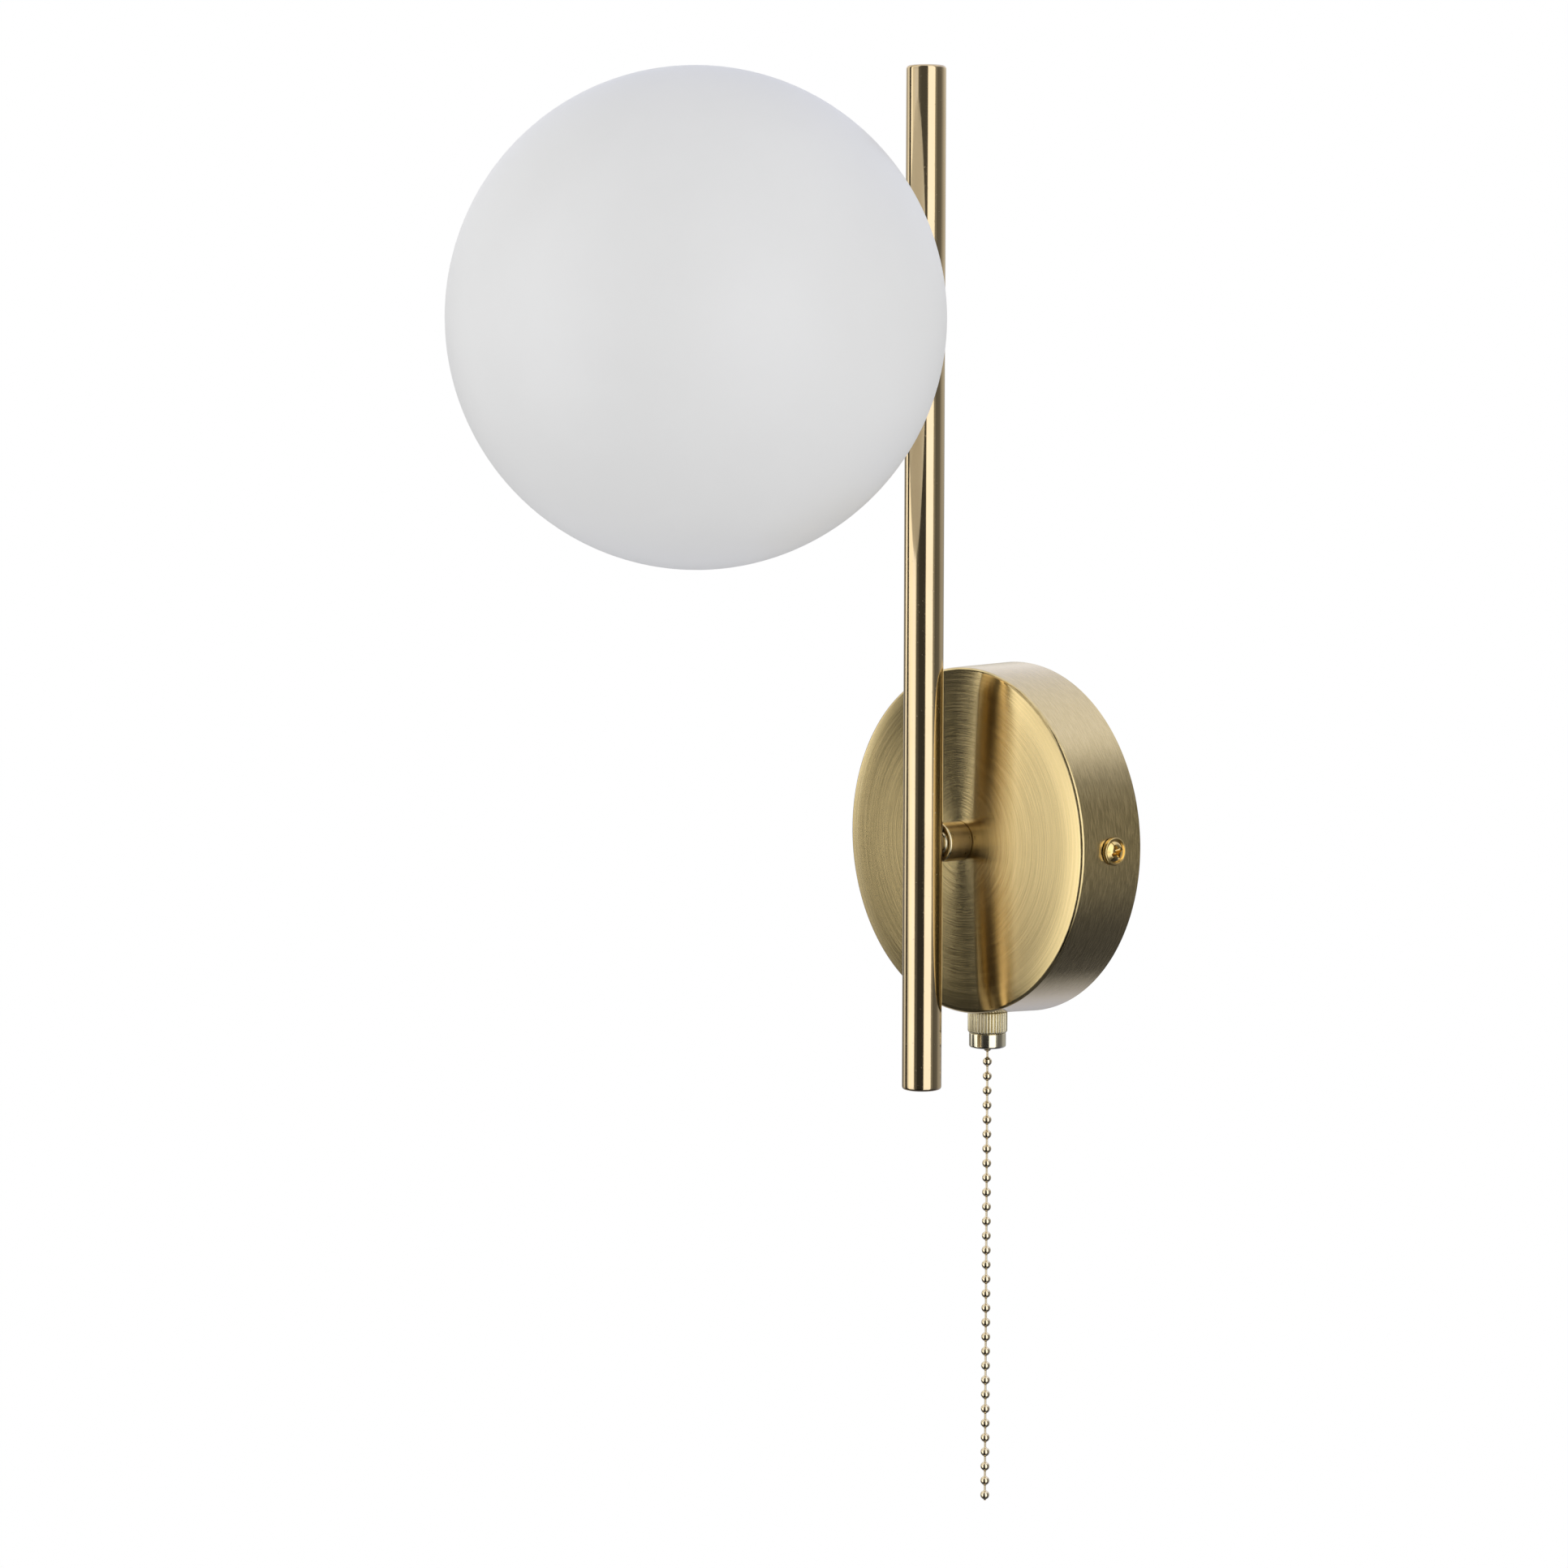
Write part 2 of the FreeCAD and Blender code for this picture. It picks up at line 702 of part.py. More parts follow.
def make_earth_lug():
    """Ring lug with a barrel for the earth wire."""
    top = bracket_sheet + lug_sheet
    ring = out_bar(lug_r, bracket_sheet, top, x=earth_x)
    neck = block(barrel_x, earth_x, bracket_sheet, top, -lug_barrel_r, lug_barrel_r)
    far = V(barrel_x - lug_barrel_length, barrel_y, 0)
    barrel = Part.makeCylinder(lug_barrel_r, lug_barrel_length, far, V(1, 0, 0))
    lug = ring.fuse(neck).fuse(barrel)
    way = Part.makeCylinder(wire_r + thread_clearance, lug_barrel_length - 1, far, V(1, 0, 0))
    lug = lug.cut(way)
    return lug.cut(out_bar(screw_r + thread_clearance, 0, top + 1, x=earth_x))


def pole_x(index):
    """Centre of a terminal's pole."""
    return (index - (pole_count - 1) / 2) * pole_pitch


def make_terminal_block():
    """Moulded block with a wire way and two screw wells for each pole."""
    half = terminal_width / 2
    top = terminal_base + terminal_height
    front = bracket_sheet + terminal_depth
    body = block(-half, half, bracket_sheet, front, terminal_base, top)
    body = rounded(body, terminal_edge, lambda e: e.BoundBox.YMax < -front + 1e-4)
    for index in range(pole_count):
        x = pole_x(index)
        way = upright_bar(insert_r + insert_fit, terminal_base - 1, top + 1, x=x, y=-wire_hole_out)
        body = body.cut(way)
        for z in terminal_screw_heights():
            body = body.cut(out_bar(terminal_screw_r + insert_fit, wire_hole_out, front + 1, x=x, z=z))
    x = pole_pitch / 2
    z = terminal_base + terminal_height / 2
    body = body.cut(out_bar(fixing_screw_r + insert_fit, 0, front + 1, x=x, z=z))
    for index in range(pole_count - 1):
        left = pole_x(index) + (pole_pitch - groove_width) / 2
        right = left + groove_width
        groove = block(left, right, front - groove_depth, front + 1, terminal_base - 1, top + 1)
        body = body.cut(groove)
    return body


def terminal_screw_heights():
    """Heights of the two clamping screws of a pole."""
    return (terminal_base + terminal_screw_inset, terminal_base + terminal_height - terminal_screw_inset)


def make_terminal_inserts():
    """Brass tubes that join the two sides of each pole."""
    high = terminal_base + terminal_height - insert_inset
    inserts = []
    for index in range(pole_count):
        x = pole_x(index)
        tube = upright_bar(insert_r, insert_low, high, x=x, y=-wire_hole_out)
        tube = tube.cut(upright_bar(insert_bore, insert_low - 1, high + 1, x=x, y=-wire_hole_out))
        front = wire_hole_out + insert_r + 1
        for z in terminal_screw_heights():
            tube = tube.cut(out_bar(terminal_screw_r + insert_fit, wire_hole_out, front, x=x, z=z))
        inserts.append(tube)
    return Part.makeCompound(inserts)


def make_terminal_screws():
    """Clamping screws, two for each pole."""
    tip = wire_hole_out + wire_r + thread_clearance
    top = bracket_sheet + terminal_depth - terminal_screw_sink
    screws = []
    for index in range(pole_count):
        for z in terminal_screw_heights():
            screws.append(out_bar(terminal_screw_r, tip, top, x=pole_x(index), z=z))
    return Part.makeCompound(screws)


def make_fixing_screw():
    """Screw between two poles that holds the terminal block on the bracket's tab."""
    x = pole_pitch / 2
    z = terminal_base + terminal_height / 2
    seat = bracket_sheet + terminal_depth
    head = out_bar(fixing_head_r, seat, seat + fixing_head, x=x, z=z)
    return head.fuse(out_bar(fixing_screw_r, thread_clearance, seat, x=x, z=z))


def make_case():
    """Moulded switch case, open at the top, with a hole in its floor for the bushing."""
    body = switch_block(case_width, case_depth, case_bottom, case_top, case_corner)
    inner_width = case_width - 2 * case_wall
    inner_depth = case_depth - 2 * case_wall
    body = body.cut(
        switch_block(inner_width, inner_depth, case_inside, case_top + 1, case_corner - case_wall)
    )
    return body.cut(upright_bar(bushing_r + thread_clearance, case_bottom - 1, case_inside + 1, y=switch_y))


def switch_block(width, depth, low, high, corner):
    """Upright block round the switch's axis with rounded corners."""
    body = block(-width / 2, width / 2, switch_out - depth / 2, switch_out + depth / 2, low, high)
    return rounded(body, corner, lambda e: e.BoundBox.ZLength > 0.9 * (high - low))


def make_case_cover():
    """Lid of the switch case, with holes for the two wires and the rotor's pin."""
    body = switch_block(case_width, case_depth, case_top, cover_top, case_corner)
    for side in (-1, 1):
        x = side * switch_wire_x
        body = body.cut(upright_bar(cover_hole_r, case_top - 1, cover_top + 1, x=x, y=switch_y))
    return body.cut(upright_bar(rotor_pin_r + rotor_pin_gap, case_top - 1, cover_top + 1, y=switch_y))


def make_bushing():
    """Threaded bushing, staked in the case floor, that the nut and the collar screw onto."""
    low = mouth_z + collar_floor
    body = upright_bar(bushing_r, low, case_inside, y=switch_y)
    body = body.fuse(upright_bar(stake_r, case_inside, case_inside + stake_height, y=switch_y))
    body = body.fuse(upright_bar(shoulder_r, shoulder_bottom, case_bottom, y=switch_y))
    return body.cut(upright_bar(bushing_bore, low - 1, case_inside + stake_height + 1, y=switch_y))


def make_knurled_nut():
    """Round nut with straight ribs that clamps the switch to the plate's rim."""
    points = []
    for index in range(2 * knurl_ribs + 1):
        radius = knurl_r - (knurl_depth if index % 2 else 0)
        angle = math.pi * index / knurl_ribs
        points.append(V(radius * math.cos(angle), switch_y + radius * math.sin(angle), knurl_bottom))
    ribs = Part.Face(Part.makePolygon(points)).extrude(V(0, 0, knurl_height))
    blank = upright_bar(knurl_r, knurl_bottom, knurl_top, y=switch_y)
    blank = chamfered(blank, knurl_edge, lambda e: isinstance(e.Curve, Part.Circle))
    bore = upright_bar(bushing_r + thread_clearance, knurl_bottom - 1, knurl_top + 1, y=switch_y)
    return blank.common(ribs).cut(bore)


def make_collar():
    """Polished collar that closes the bushing's end, with the chain's mouth in its floor."""
    body = upright_bar(collar_r, mouth_z, knurl_bottom, y=switch_y)
    body = rounded(body, collar_edge, lambda e: is_circle(e, collar_r, "z", mouth_z))
    floor = mouth_z + collar_floor
    body = body.cut(upright_bar(bushing_r + thread_clearance, floor, knurl_bottom + 1, y=switch_y))
    return body.cut(upright_bar(mouth_r, mouth_z - 1, floor + 1, y=switch_y))


def make_pull_rod():
    """Headed rod that the chain pulls down against the spring, with a ball socket at its end."""
    ball_z = bead_z(-bead_count_inside) - ball_centre
    low = ball_z - socket_rim
    rod = upright_bar(bushing_bore - rod_clearance, low, pull_top, y=switch_y)
    head = upright_bar(pull_head_r, pull_top - pull_head, pull_top, y=switch_y)
    socket = Part.makeSphere(link_ball_r + ball_clearance, V(0, switch_y, ball_z))
    return rod.fuse(head).cut(socket)


def make_rotor():
    """Rotor that steps a quarter turn at each pull, with ratchet teeth under it."""
    body = upright_bar(rotor_r, rotor_bottom, rotor_top, y=switch_y)
    body = body.fuse(upright_bar(rotor_pin_r, rotor_top, cover_top, y=switch_y))
    front = switch_out + tooth_width
    for index in range(ratchet_teeth):
        low = rotor_bottom - ratchet_height
        tooth = block(tooth_start, tooth_end, switch_out, front, low, rotor_bottom)
        tooth.rotate(V(0, switch_y, 0), V(0, 0, 1), 360 * index / ratchet_teeth)
        body = body.fuse(tooth)
    return body


def make_contacts():
    """Two fixed contact blades beside the rotor."""
    blades = []
    low = rotor_bottom - contact_drop
    back = switch_out - contact_width / 2
    for side in (-1, 1):
        near = side * (rotor_r + contact_gap)
        left, right = sorted((near, near + side * contact_sheet))
        blades.append(block(left, right, back, back + contact_width, low, case_top))
    return Part.makeCompound(blades)


def make_spring():
    """Return spring, a round wire along a helix made of biarcs of a quarter turn."""
    low = spring_bottom + spring_wire_r
    high = spring_top - spring_wire_r
    steps = 4 * spring_turns
    rise = (high - low) / (2 * math.pi * spring_turns)

    def place(index):
        angle = math.pi / 2 * index
        point = V(spring_r * math.cos(angle), switch_y + spring_r * math.sin(angle), low + rise * angle)
        along = V(-spring_r * math.sin(angle), spring_r * math.cos(angle), rise).normalize()
        return point, along

    edges = []
    for index in range(steps):
        edges += biarc(*place(index), *place(index + 1))
    path = Part.Wire(edges)
    print(f"return spring, least gap between turns {least_gap(path):.2f} mm")
    return sweep_round(edges, *place(0), spring_wire_r)


def least_gap(path):
    """Least distance between the surfaces of turns of the spring, measured on points."""
    step = 2 * math.pi * spring_r / spring_point_count
    points = path.discretize(Distance=step)
    turn = spring_point_count // 2
    return min(
        points[i].distanceToPoint(points[j]) - 2 * spring_wire_r
        for i in range(len(points))
        for j in range(i + turn, len(points))
    )


def biarc(start, start_way, end, end_way):
    """Two arcs that leave start and reach end in the given directions."""
    chord = end - start
    ways = start_way + end_way
    square = 2 * (1 - start_way.dot(end_way))
    lean = chord.dot(ways)
    reach = (-lean + math.sqrt(lean**2 + square * chord.dot(chord))) / square
    near = start + start_way * reach
    far = end - end_way * reach
    joint = (near + far) * 0.5
    return [tangent_arc(start, near, joint), tangent_arc(joint, far, end)]


def bead_z(index):
    """Height of a bead's centre; bead 0 hangs in the mouth and bead 1 is the first below it."""
    return bead_zero_z - index * bead_pitch


def make_bead(index):
    """Bead with a ball socket at its top and bottom."""
    z = bead_z(index)
    ball = Part.makeSphere(bead_r, V(0, switch_y, z))
    for side in (-1, 1):
        centre = V(0, switch_y, z + side * ball_centre)
        ball = ball.cut(Part.makeSphere(link_ball_r + ball_clearance, centre))
    return ball


def make_link(index):
    """Link with two ball ends, between a bead and the next one below."""
    high = bead_z(index) - ball_centre
    low = bead_z(index + 1) + ball_centre
    link = upright_bar(link_r, low, high, y=switch_y)
    for z in (low, high):
        link = link.fuse(Part.makeSphere(link_ball_r, V(0, switch_y, z)))
    return link


def make_tail():
    """Cut end of the chain, a ball end in the last bead with a stub of its link."""
    high = bead_z(bead_count) - ball_centre
    stub = upright_bar(link_r, bead_z(bead_count) - bead_r - tail_length, high, y=switch_y)
    return stub.fuse(Part.makeSphere(link_ball_r, V(0, switch_y, high)))


def tube_route(side):
    """Points of a wire from behind the rear nipple, up the tube and into the lamp holder."""
    x = side * wire_side
    holder_x = side * pin_spacing / 2
    behind = -wire_hole_out
    inside = -tube_out
    return [
        V(x, behind, 0),
        V(x, inside, 0),
        V(x, inside, arm_z),
        V(x, -(front_nipple_end + nipple_exit), arm_z),
        V(holder_x, -(holder_back - holder_exit), arm_z),
        V(holder_x, -(holder_back + wire_grip), arm_z),
    ]


def make_lead_neutral():
    """Wire from the middle terminal to the lamp holder."""
    top = V(pole_x(1), -wire_hole_out, insert_low + wire_grip)
    return wire_tube([top] + tube_route(1), tube_bends)


def make_lead_switched():
    """Wire from the switch to the lamp holder."""
    low = V(switch_wire_x, switch_y, case_top)
    above = V(switch_wire_x, switch_y, cover_top + switch_rise)
    below = V(-wire_side, -wire_hole_out, lead_cross_z)
    return wire_tube([low, above, below] + tube_route(-1), [plate_bend, plate_bend] + tube_bends)


def make_lead_live():
    """Wire from the first terminal down to the switch."""
    x = pole_x(0)
    points = [
        V(x, -wire_hole_out, insert_low + wire_grip),
        V(x, -wire_hole_out, lead_turn_z),
        V(x - live_step_x, -(wire_hole_out + live_step_out), live_turn_z),
        V(-switch_wire_x, switch_y, cover_top + switch_rise),
        V(-switch_wire_x, switch_y, case_top),
    ]
    return wire_tube(points, [plate_bend] * 3)


def make_lead_earth():
    """Wire from the last terminal to the lug on the bracket."""
    x = pole_x(2)
    points = [
        V(x, -wire_hole_out, insert_low + wire_grip),
        V(x, -wire_hole_out, lead_turn_z),
        V(x, barrel_y, 0),
        V(barrel_x - 1, barrel_y, 0),
    ]
    return wire_tube(points, [plate_bend / 2, tube_bend])


def make_chain(parts):
    """Beads and links in runs, with a swivel link of its own between one run and the next."""
    inside = range(1 - bead_count_inside, 1)
    parts["chain_beads_inside"] = Part.makeCompound([make_bead(i) for i in inside])
    parts["chain_links_inside"] = Part.makeCompound([make_link(i - 1) for i in inside])
    first = 1
    run = 1
    while first <= bead_count:
        last = min(first + run_bead_count - 1, bead_count)
        parts[f"chain_swivel_{run}"] = make_link(first - 1)
        beads = [make_bead(i) for i in range(first, last + 1)]
        links = [make_link(i) for i in range(first, last)]
        if last == bead_count:
            links.append(make_tail())
        parts[f"chain_beads_{run}"] = Part.makeCompound(beads)
        parts[f"chain_links_{run}"] = Part.makeCompound(links)
        first = last + 1
        run += 1


def make_stem(parts):
    """Spacer, tube, plugs and the nipples and nuts that hold them together."""
    inner_face = plate_depth - plate_sheet
    parts["spacer"] = make_spacer()
    parts["tube"] = make_tube()
    parts["tube_plug_top"] = make_plug(tube_top, -1)
    parts["tube_plug_bottom"] = make_plug(tube_bottom, 1)
    rear_end = tube_out - tube_bore + nipple_past_sheet
    parts["rear_nipple"] = make_nipple(inner_face - rear_nipple_inside, rear_end, 0)
    parts["rear_washer"] = make_washer(inner_face - washer_height)
    parts["rear_nut"] = nut(inner_face - washer_height - nut_height, 0)
    parts["arm_boss"] = make_arm_boss()
    front_start = tube_out + tube_bore - nipple_past_sheet
    parts["front_nipple"] = make_nipple(front_start, front_nipple_end, arm_z)


def make_lamp_end(parts):
    """Cup, globe, lamp holder and bulb."""
    parts["globe_cup"] = make_globe_cup()
    parts["cup_nut"] = nut(cup_nut_back, arm_z)
    parts["neck_gasket"] = make_gasket()
    parts["glass_globe"] = make_globe()
    parts["holder_strap"] = make_holder_strap()
    parts["holder_screws"] = make_holder_screws()
    parts["holder_clips"] = make_holder_clips()
    parts["lamp_holder"] = make_lamp_holder()
    parts["bulb_base"] = make_bulb_base()
    parts["bulb_pins"] = make_bulb_pins()
    parts["bulb_cover"] = make_bulb_cover()
    parts["bulb_board"] = make_bulb_board()


def make_wall_side(parts):
    """Bracket, fasteners, terminals and wires behind the plate."""
    parts["wall_plate"] = make_wall_plate()
    parts["wall_bracket"] = make_bracket()
    parts["side_screws"] = make_side_screws()
    parts["earth_screw"] = make_earth_screw()
    parts["earth_lug"] = make_earth_lug()
    parts["terminal_block"] = make_terminal_block()
    parts["terminal_inserts"] = make_terminal_inserts()
    parts["terminal_screws"] = make_terminal_screws()
    parts["terminal_fixing_screw"] = make_fixing_screw()
    parts["lead_live"] = make_lead_live()
    parts["lead_switched"] = make_lead_switched()
    parts["lead_neutral"] = make_lead_neutral()
    parts["lead_earth"] = make_lead_earth()


def make_switch(parts):
    """Pull switch from its case in the plate down to the collar under it."""
    parts["switch_case"] = make_case()
    parts["switch_cover"] = make_case_cover()
    parts["switch_bushing"] = make_bushing()
    parts["switch_contacts"] = make_contacts()
    parts["switch_rotor"] = make_rotor()
    parts["pull_rod"] = make_pull_rod()
    parts["return_spring"] = make_spring()
    parts["knurled_nut"] = make_knurled_nut()
    parts["switch_collar"] = make_collar()


def main():
    """Build every piece and write it to its own file."""
    parts = {}
    make_wall_side(parts)
    make_stem(parts)
    make_lamp_end(parts)
    make_switch(parts)
    make_chain(parts)
    os.makedirs("parts", exist_ok=True)
    for name, shape in parts.items():
        shape.exportStep(f"parts/{name}.step")


main()
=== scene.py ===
"""Globe wall sconce with a ball pull chain: pieces, materials, studio and camera."""

import bmesh
import bpy
import json
import math
from mathutils import Matrix, Vector


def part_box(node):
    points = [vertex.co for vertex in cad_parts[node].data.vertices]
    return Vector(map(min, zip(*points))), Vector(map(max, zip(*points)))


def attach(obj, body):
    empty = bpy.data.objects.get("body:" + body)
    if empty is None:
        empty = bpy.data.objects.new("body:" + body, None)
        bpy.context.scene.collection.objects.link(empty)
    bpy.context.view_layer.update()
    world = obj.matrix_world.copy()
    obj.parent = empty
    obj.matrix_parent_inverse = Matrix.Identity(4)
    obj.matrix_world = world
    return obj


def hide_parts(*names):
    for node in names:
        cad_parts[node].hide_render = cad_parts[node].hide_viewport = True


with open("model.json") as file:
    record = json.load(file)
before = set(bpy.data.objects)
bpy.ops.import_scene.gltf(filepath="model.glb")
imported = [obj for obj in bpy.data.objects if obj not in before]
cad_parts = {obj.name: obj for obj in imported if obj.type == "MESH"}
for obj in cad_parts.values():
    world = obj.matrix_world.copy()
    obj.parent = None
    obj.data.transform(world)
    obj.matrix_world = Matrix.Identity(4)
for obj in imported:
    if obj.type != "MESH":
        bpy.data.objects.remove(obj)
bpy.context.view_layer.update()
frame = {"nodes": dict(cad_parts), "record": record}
NODES = frame["nodes"]
MM = 0.001

# Camera that matches the photograph, worked out from the plate, the tube and the globe
CAMERA_PLACE = Vector((1.05373, -0.96290, 0.13167))
CAMERA_FORWARD = Vector((-0.77027524, 0.63262081, -0.08041749))
CAMERA_RIGHT = Vector((0.63454008, 0.77288694, 0.00216184))
CAMERA_LENS = 102.48

FLOOR_Z = -3.4
STUDIO_R = 1.9


def box_mm(node):
    """Lowest and highest corner of a CAD node in millimetres."""
    low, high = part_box(node)
    return [v / MM for v in low], [v / MM for v in high]


# Node helpers


class Tree:
    """Short way to write a material's nodes."""

    def __init__(self, name):
        self.material = bpy.data.materials.new(name)
        self.material.use_nodes = True
        self.nodes = self.material.node_tree.nodes
        self.links = self.material.node_tree.links
        self.nodes.clear()
        self.out = self.nodes.new("ShaderNodeOutputMaterial")

    def node(self, kind, inputs=None, **settings):
        made = self.nodes.new(kind)
        for key, value in settings.items():
            setattr(made, key, value)
        for key, value in (inputs or {}).items():
            self.put(made.inputs[key], value)
        return made

    def put(self, socket, value):
        if isinstance(value, bpy.types.NodeSocket):
            self.links.new(value, socket)
        else:
            socket.default_value = value

    def math(self, operation, first, second=0.0):
        made = self.nodes.new("ShaderNodeMath")
        made.operation = operation
        for socket, value in zip(made.inputs, (first, second)):
            self.put(socket, value)
        return made.outputs[0]

    def place(self):
        return self.node("ShaderNodeTexCoord").outputs["Object"]

    def split(self, vector):
        return self.node("ShaderNodeSeparateXYZ", {0: vector}).outputs

    def vector(self, x, y, z):
        return self.node("ShaderNodeCombineXYZ", {0: x, 1: y, 2: z}).outputs[0]

    def noise(self, vector, scale, detail=2.0, roughness=0.5):
        made = self.node(
            "ShaderNodeTexNoise",
            {"Vector": vector, "Scale": scale, "Detail": detail, "Roughness": roughness},
        )
        return made.outputs[0]

    def stretched(self, vector, scale):
        made = self.node("ShaderNodeVectorMath", {0: vector, 1: scale}, operation="MULTIPLY")
        return made.outputs[0]

    def spread(self, value, low, high, start=0.0, end=1.0):
        made = self.node(
            "ShaderNodeMapRange", {0: value, 1: start, 2: end, 3: low, 4: high}, clamp=True
        )
        return made.outputs[0]

    def mix(self, share, first, second):
        made = self.node("ShaderNodeMix", data_type="RGBA")
        self.put(made.inputs[0], share)
        for index, colour in ((6, first), (7, second)):
            linked = isinstance(colour, bpy.types.NodeSocket)
            self.put(made.inputs[index], colour if linked else (*colour, 1.0))
        return made.outputs[2]

    def bump(self, height, strength, distance):
        made = self.node(
            "ShaderNodeBump", {"Height": height, "Strength": strength, "Distance": distance}
        )
        return made.outputs[0]

    def shader(self, **values):
        inputs = {key.replace("_", " "): value for key, value in values.items()}
        made = self.node("ShaderNodeBsdfPrincipled")
        for key, value in inputs.items():
            socket = made.inputs[key]
            if isinstance(value, tuple) and len(value) == 3 and socket.type == "RGBA":
                value = (*value, 1.0)
            self.put(socket, value)
        self.links.new(made.outputs[0], self.out.inputs[0])
        return made


# Metres from the plate's axis where its face turns into its rim, and the same for the radius and
# the distance from the wall together, which grows along the rounded edge between them
RIM_FROM, RIM_TO = 0.0538, 0.0546
EDGE_FROM, EDGE_TO = 0.0774, 0.0782
AXIS_R = 0.002


def brushed_round(name, colour, dark, rough, turned):
    """Brass brushed in circles round the Y axis: arcs of fine scratches under a thin lacquer."""
    tree = Tree(name)
    x, y, z = tree.split(tree.place())
    squares = tree.math("ADD", tree.math("MULTIPLY", x, x), tree.math("MULTIPLY", z, z))
    radius = tree.math("SQRT", squares)
    across = tree.math("SUBTRACT", radius, y)
    safe = tree.math("MAXIMUM", radius, AXIS_R)
    turn_x = tree.math("DIVIDE", x, safe)
    turn_z = tree.math("DIVIDE", z, safe)

    def arcs(round_scale, across_scale, detail):
        """Noise drawn out along circles: few waves round, many across."""
        return tree.noise(
            tree.vector(
                tree.math("MULTIPLY", turn_x, round_scale),
                tree.math("MULTIPLY", across, across_scale),
                tree.math("MULTIPLY", turn_z, round_scale),
            ),
            1.0, detail, 0.6,
        )

    fine = arcs(1.6, 4000.0, 2.0)
    broad = arcs(0.9, 1700.0, 2.0)
    short = arcs(14.0, 2600.0, 2.0)
    rim = tree.spread(radius, 0.0, 1.0, RIM_FROM, RIM_TO)
    long = tree.math("MULTIPLY", tree.math("ADD", fine, broad), 0.5)
    both = tree.node("ShaderNodeMix", {0: rim, 2: long, 3: short}, data_type="FLOAT").outputs[0]
    base = tree.mix(tree.spread(both, 0.0, 1.0, 0.38, 0.62), dark, colour)
    edge = tree.spread(across, 1.0, 0.75, EDGE_FROM, EDGE_TO)
    scratched = tree.spread(both, rough * 0.9, rough * 1.15, 0.35, 0.65)
    roughness = tree.math("MULTIPLY", scratched, edge)
    normal = tree.bump(both, 0.5, 0.00008)
    tangent = tree.node("ShaderNodeTangent", direction_type="RADIAL", axis="Y")
    tree.shader(
        Base_Color=base, Metallic=1.0, Roughness=roughness, Anisotropic=1.0,
        Anisotropic_Rotation=turned, Normal=normal, Tangent=tangent.outputs[0],
        Coat_Weight=0.4, Coat_Roughness=0.12, Coat_IOR=1.5,
    )
    return tree.material


def polished(name, colour, dark, rough, grain, axis_scale):
    """Polished brass with a faint grain and a few specks in its lacquer."""
    tree = Tree(name)
    place = tree.place()
    lines = tree.noise(tree.stretched(place, axis_scale), 1.0, 3.0, 0.6)
    specks = tree.noise(place, 1400.0, 1.0, 0.5)
    speck = tree.spread(specks, 0.0, 1.0, 0.70, 0.78)
    cloud = tree.noise(place, 60.0, 2.0, 0.5)
    base = tree.mix(tree.spread(cloud, 0.0, 1.0, 0.3, 0.7), dark, colour)
    roughness = tree.math("ADD", tree.spread(lines, rough * 0.8, rough * 1.25, 0.3, 0.7),
                          tree.math("MULTIPLY", speck, 0.18))
    raised = tree.math("MULTIPLY", speck, 0.6)
    height = tree.math("ADD", tree.math("MULTIPLY", lines, grain), raised)
    normal = tree.bump(height, 0.2, 0.00003)
    tree.shader(Base_Color=base, Metallic=1.0, Roughness=roughness, Normal=normal)
    return tree.material


def satin_spacer(name, colour, dark, rough, machined_end_and_highlight, front):
    """Brown satin brass with a lighter, freshly machined end at front metres from the wall; that
    lighter colour is partly a painted highlight.
    """
    tree = Tree(name)
    place = tree.place()
    lines = tree.noise(tree.stretched(place, (260.0, 900.0, 260.0)), 1.0, 3.0, 0.6)
    cloud = tree.noise(place, 180.0, 3.0, 0.6)
    # Painted highlight: the end's lighter colour stands partly for freshly machined brass and
    # partly for a bright reflection that the lights don't give there.
    end = tree.spread(tree.split(place)[1], 1.0, 0.0, 0.0007 - front, 0.0010 - front)
    base = tree.mix(end, tree.mix(tree.spread(cloud, 0.0, 1.0, 0.35, 0.65), dark, colour), machined_end_and_highlight)
    roughness = tree.math("SUBTRACT", tree.spread(lines, rough * 0.8, rough * 1.2, 0.3, 0.7),
                          tree.math("MULTIPLY", end, 0.12))
    normal = tree.bump(lines, 0.2, 0.00003)
    tree.shader(Base_Color=base, Metallic=1.0, Roughness=roughness, Normal=normal)
    return tree.material


def opal_glass():
    """White opal glass with a matt skin."""
    tree = Tree("opal_glass_white")
    place = tree.place()
    cloud = tree.noise(place, 18.0, 3.0, 0.5)
    base = tree.mix(tree.spread(cloud, 0.0, 1.0, 0.3, 0.7), (0.80, 0.80, 0.80), (0.83, 0.83, 0.83))
    grit = tree.noise(place, 2600.0, 2.0, 0.6)
    roughness = tree.spread(grit, 0.40, 0.50, 0.3, 0.7)
    normal = tree.bump(grit, 0.08, 0.00003)
    tree.shader(
        Base_Color=base, Roughness=roughness, IOR=1.5, Normal=normal,
        Subsurface_Weight=0.2, Subsurface_Scale=0.004, Subsurface_Radius=(1.0, 1.0, 1.0),
    )
    return tree.material


def plain_metal(name, colour, dark, rough):
    """Plated or drawn metal with a mottled, slightly uneven skin."""
    tree = Tree(name)
    place = tree.place()
    mottle = tree.noise(place, 220.0, 4.0, 0.6)
    fine = tree.noise(place, 1980.0, 2.0, 0.6)
    base = tree.mix(tree.spread(mottle, 0.0, 1.0, 0.3, 0.7), dark, colour)
    roughness = tree.spread(mottle, rough * 0.75, rough * 1.3, 0.3, 0.7)
    normal = tree.bump(fine, 0.15, 0.00004)
    tree.shader(Base_Color=base, Metallic=1.0, Roughness=roughness, Normal=normal)
    return tree.material


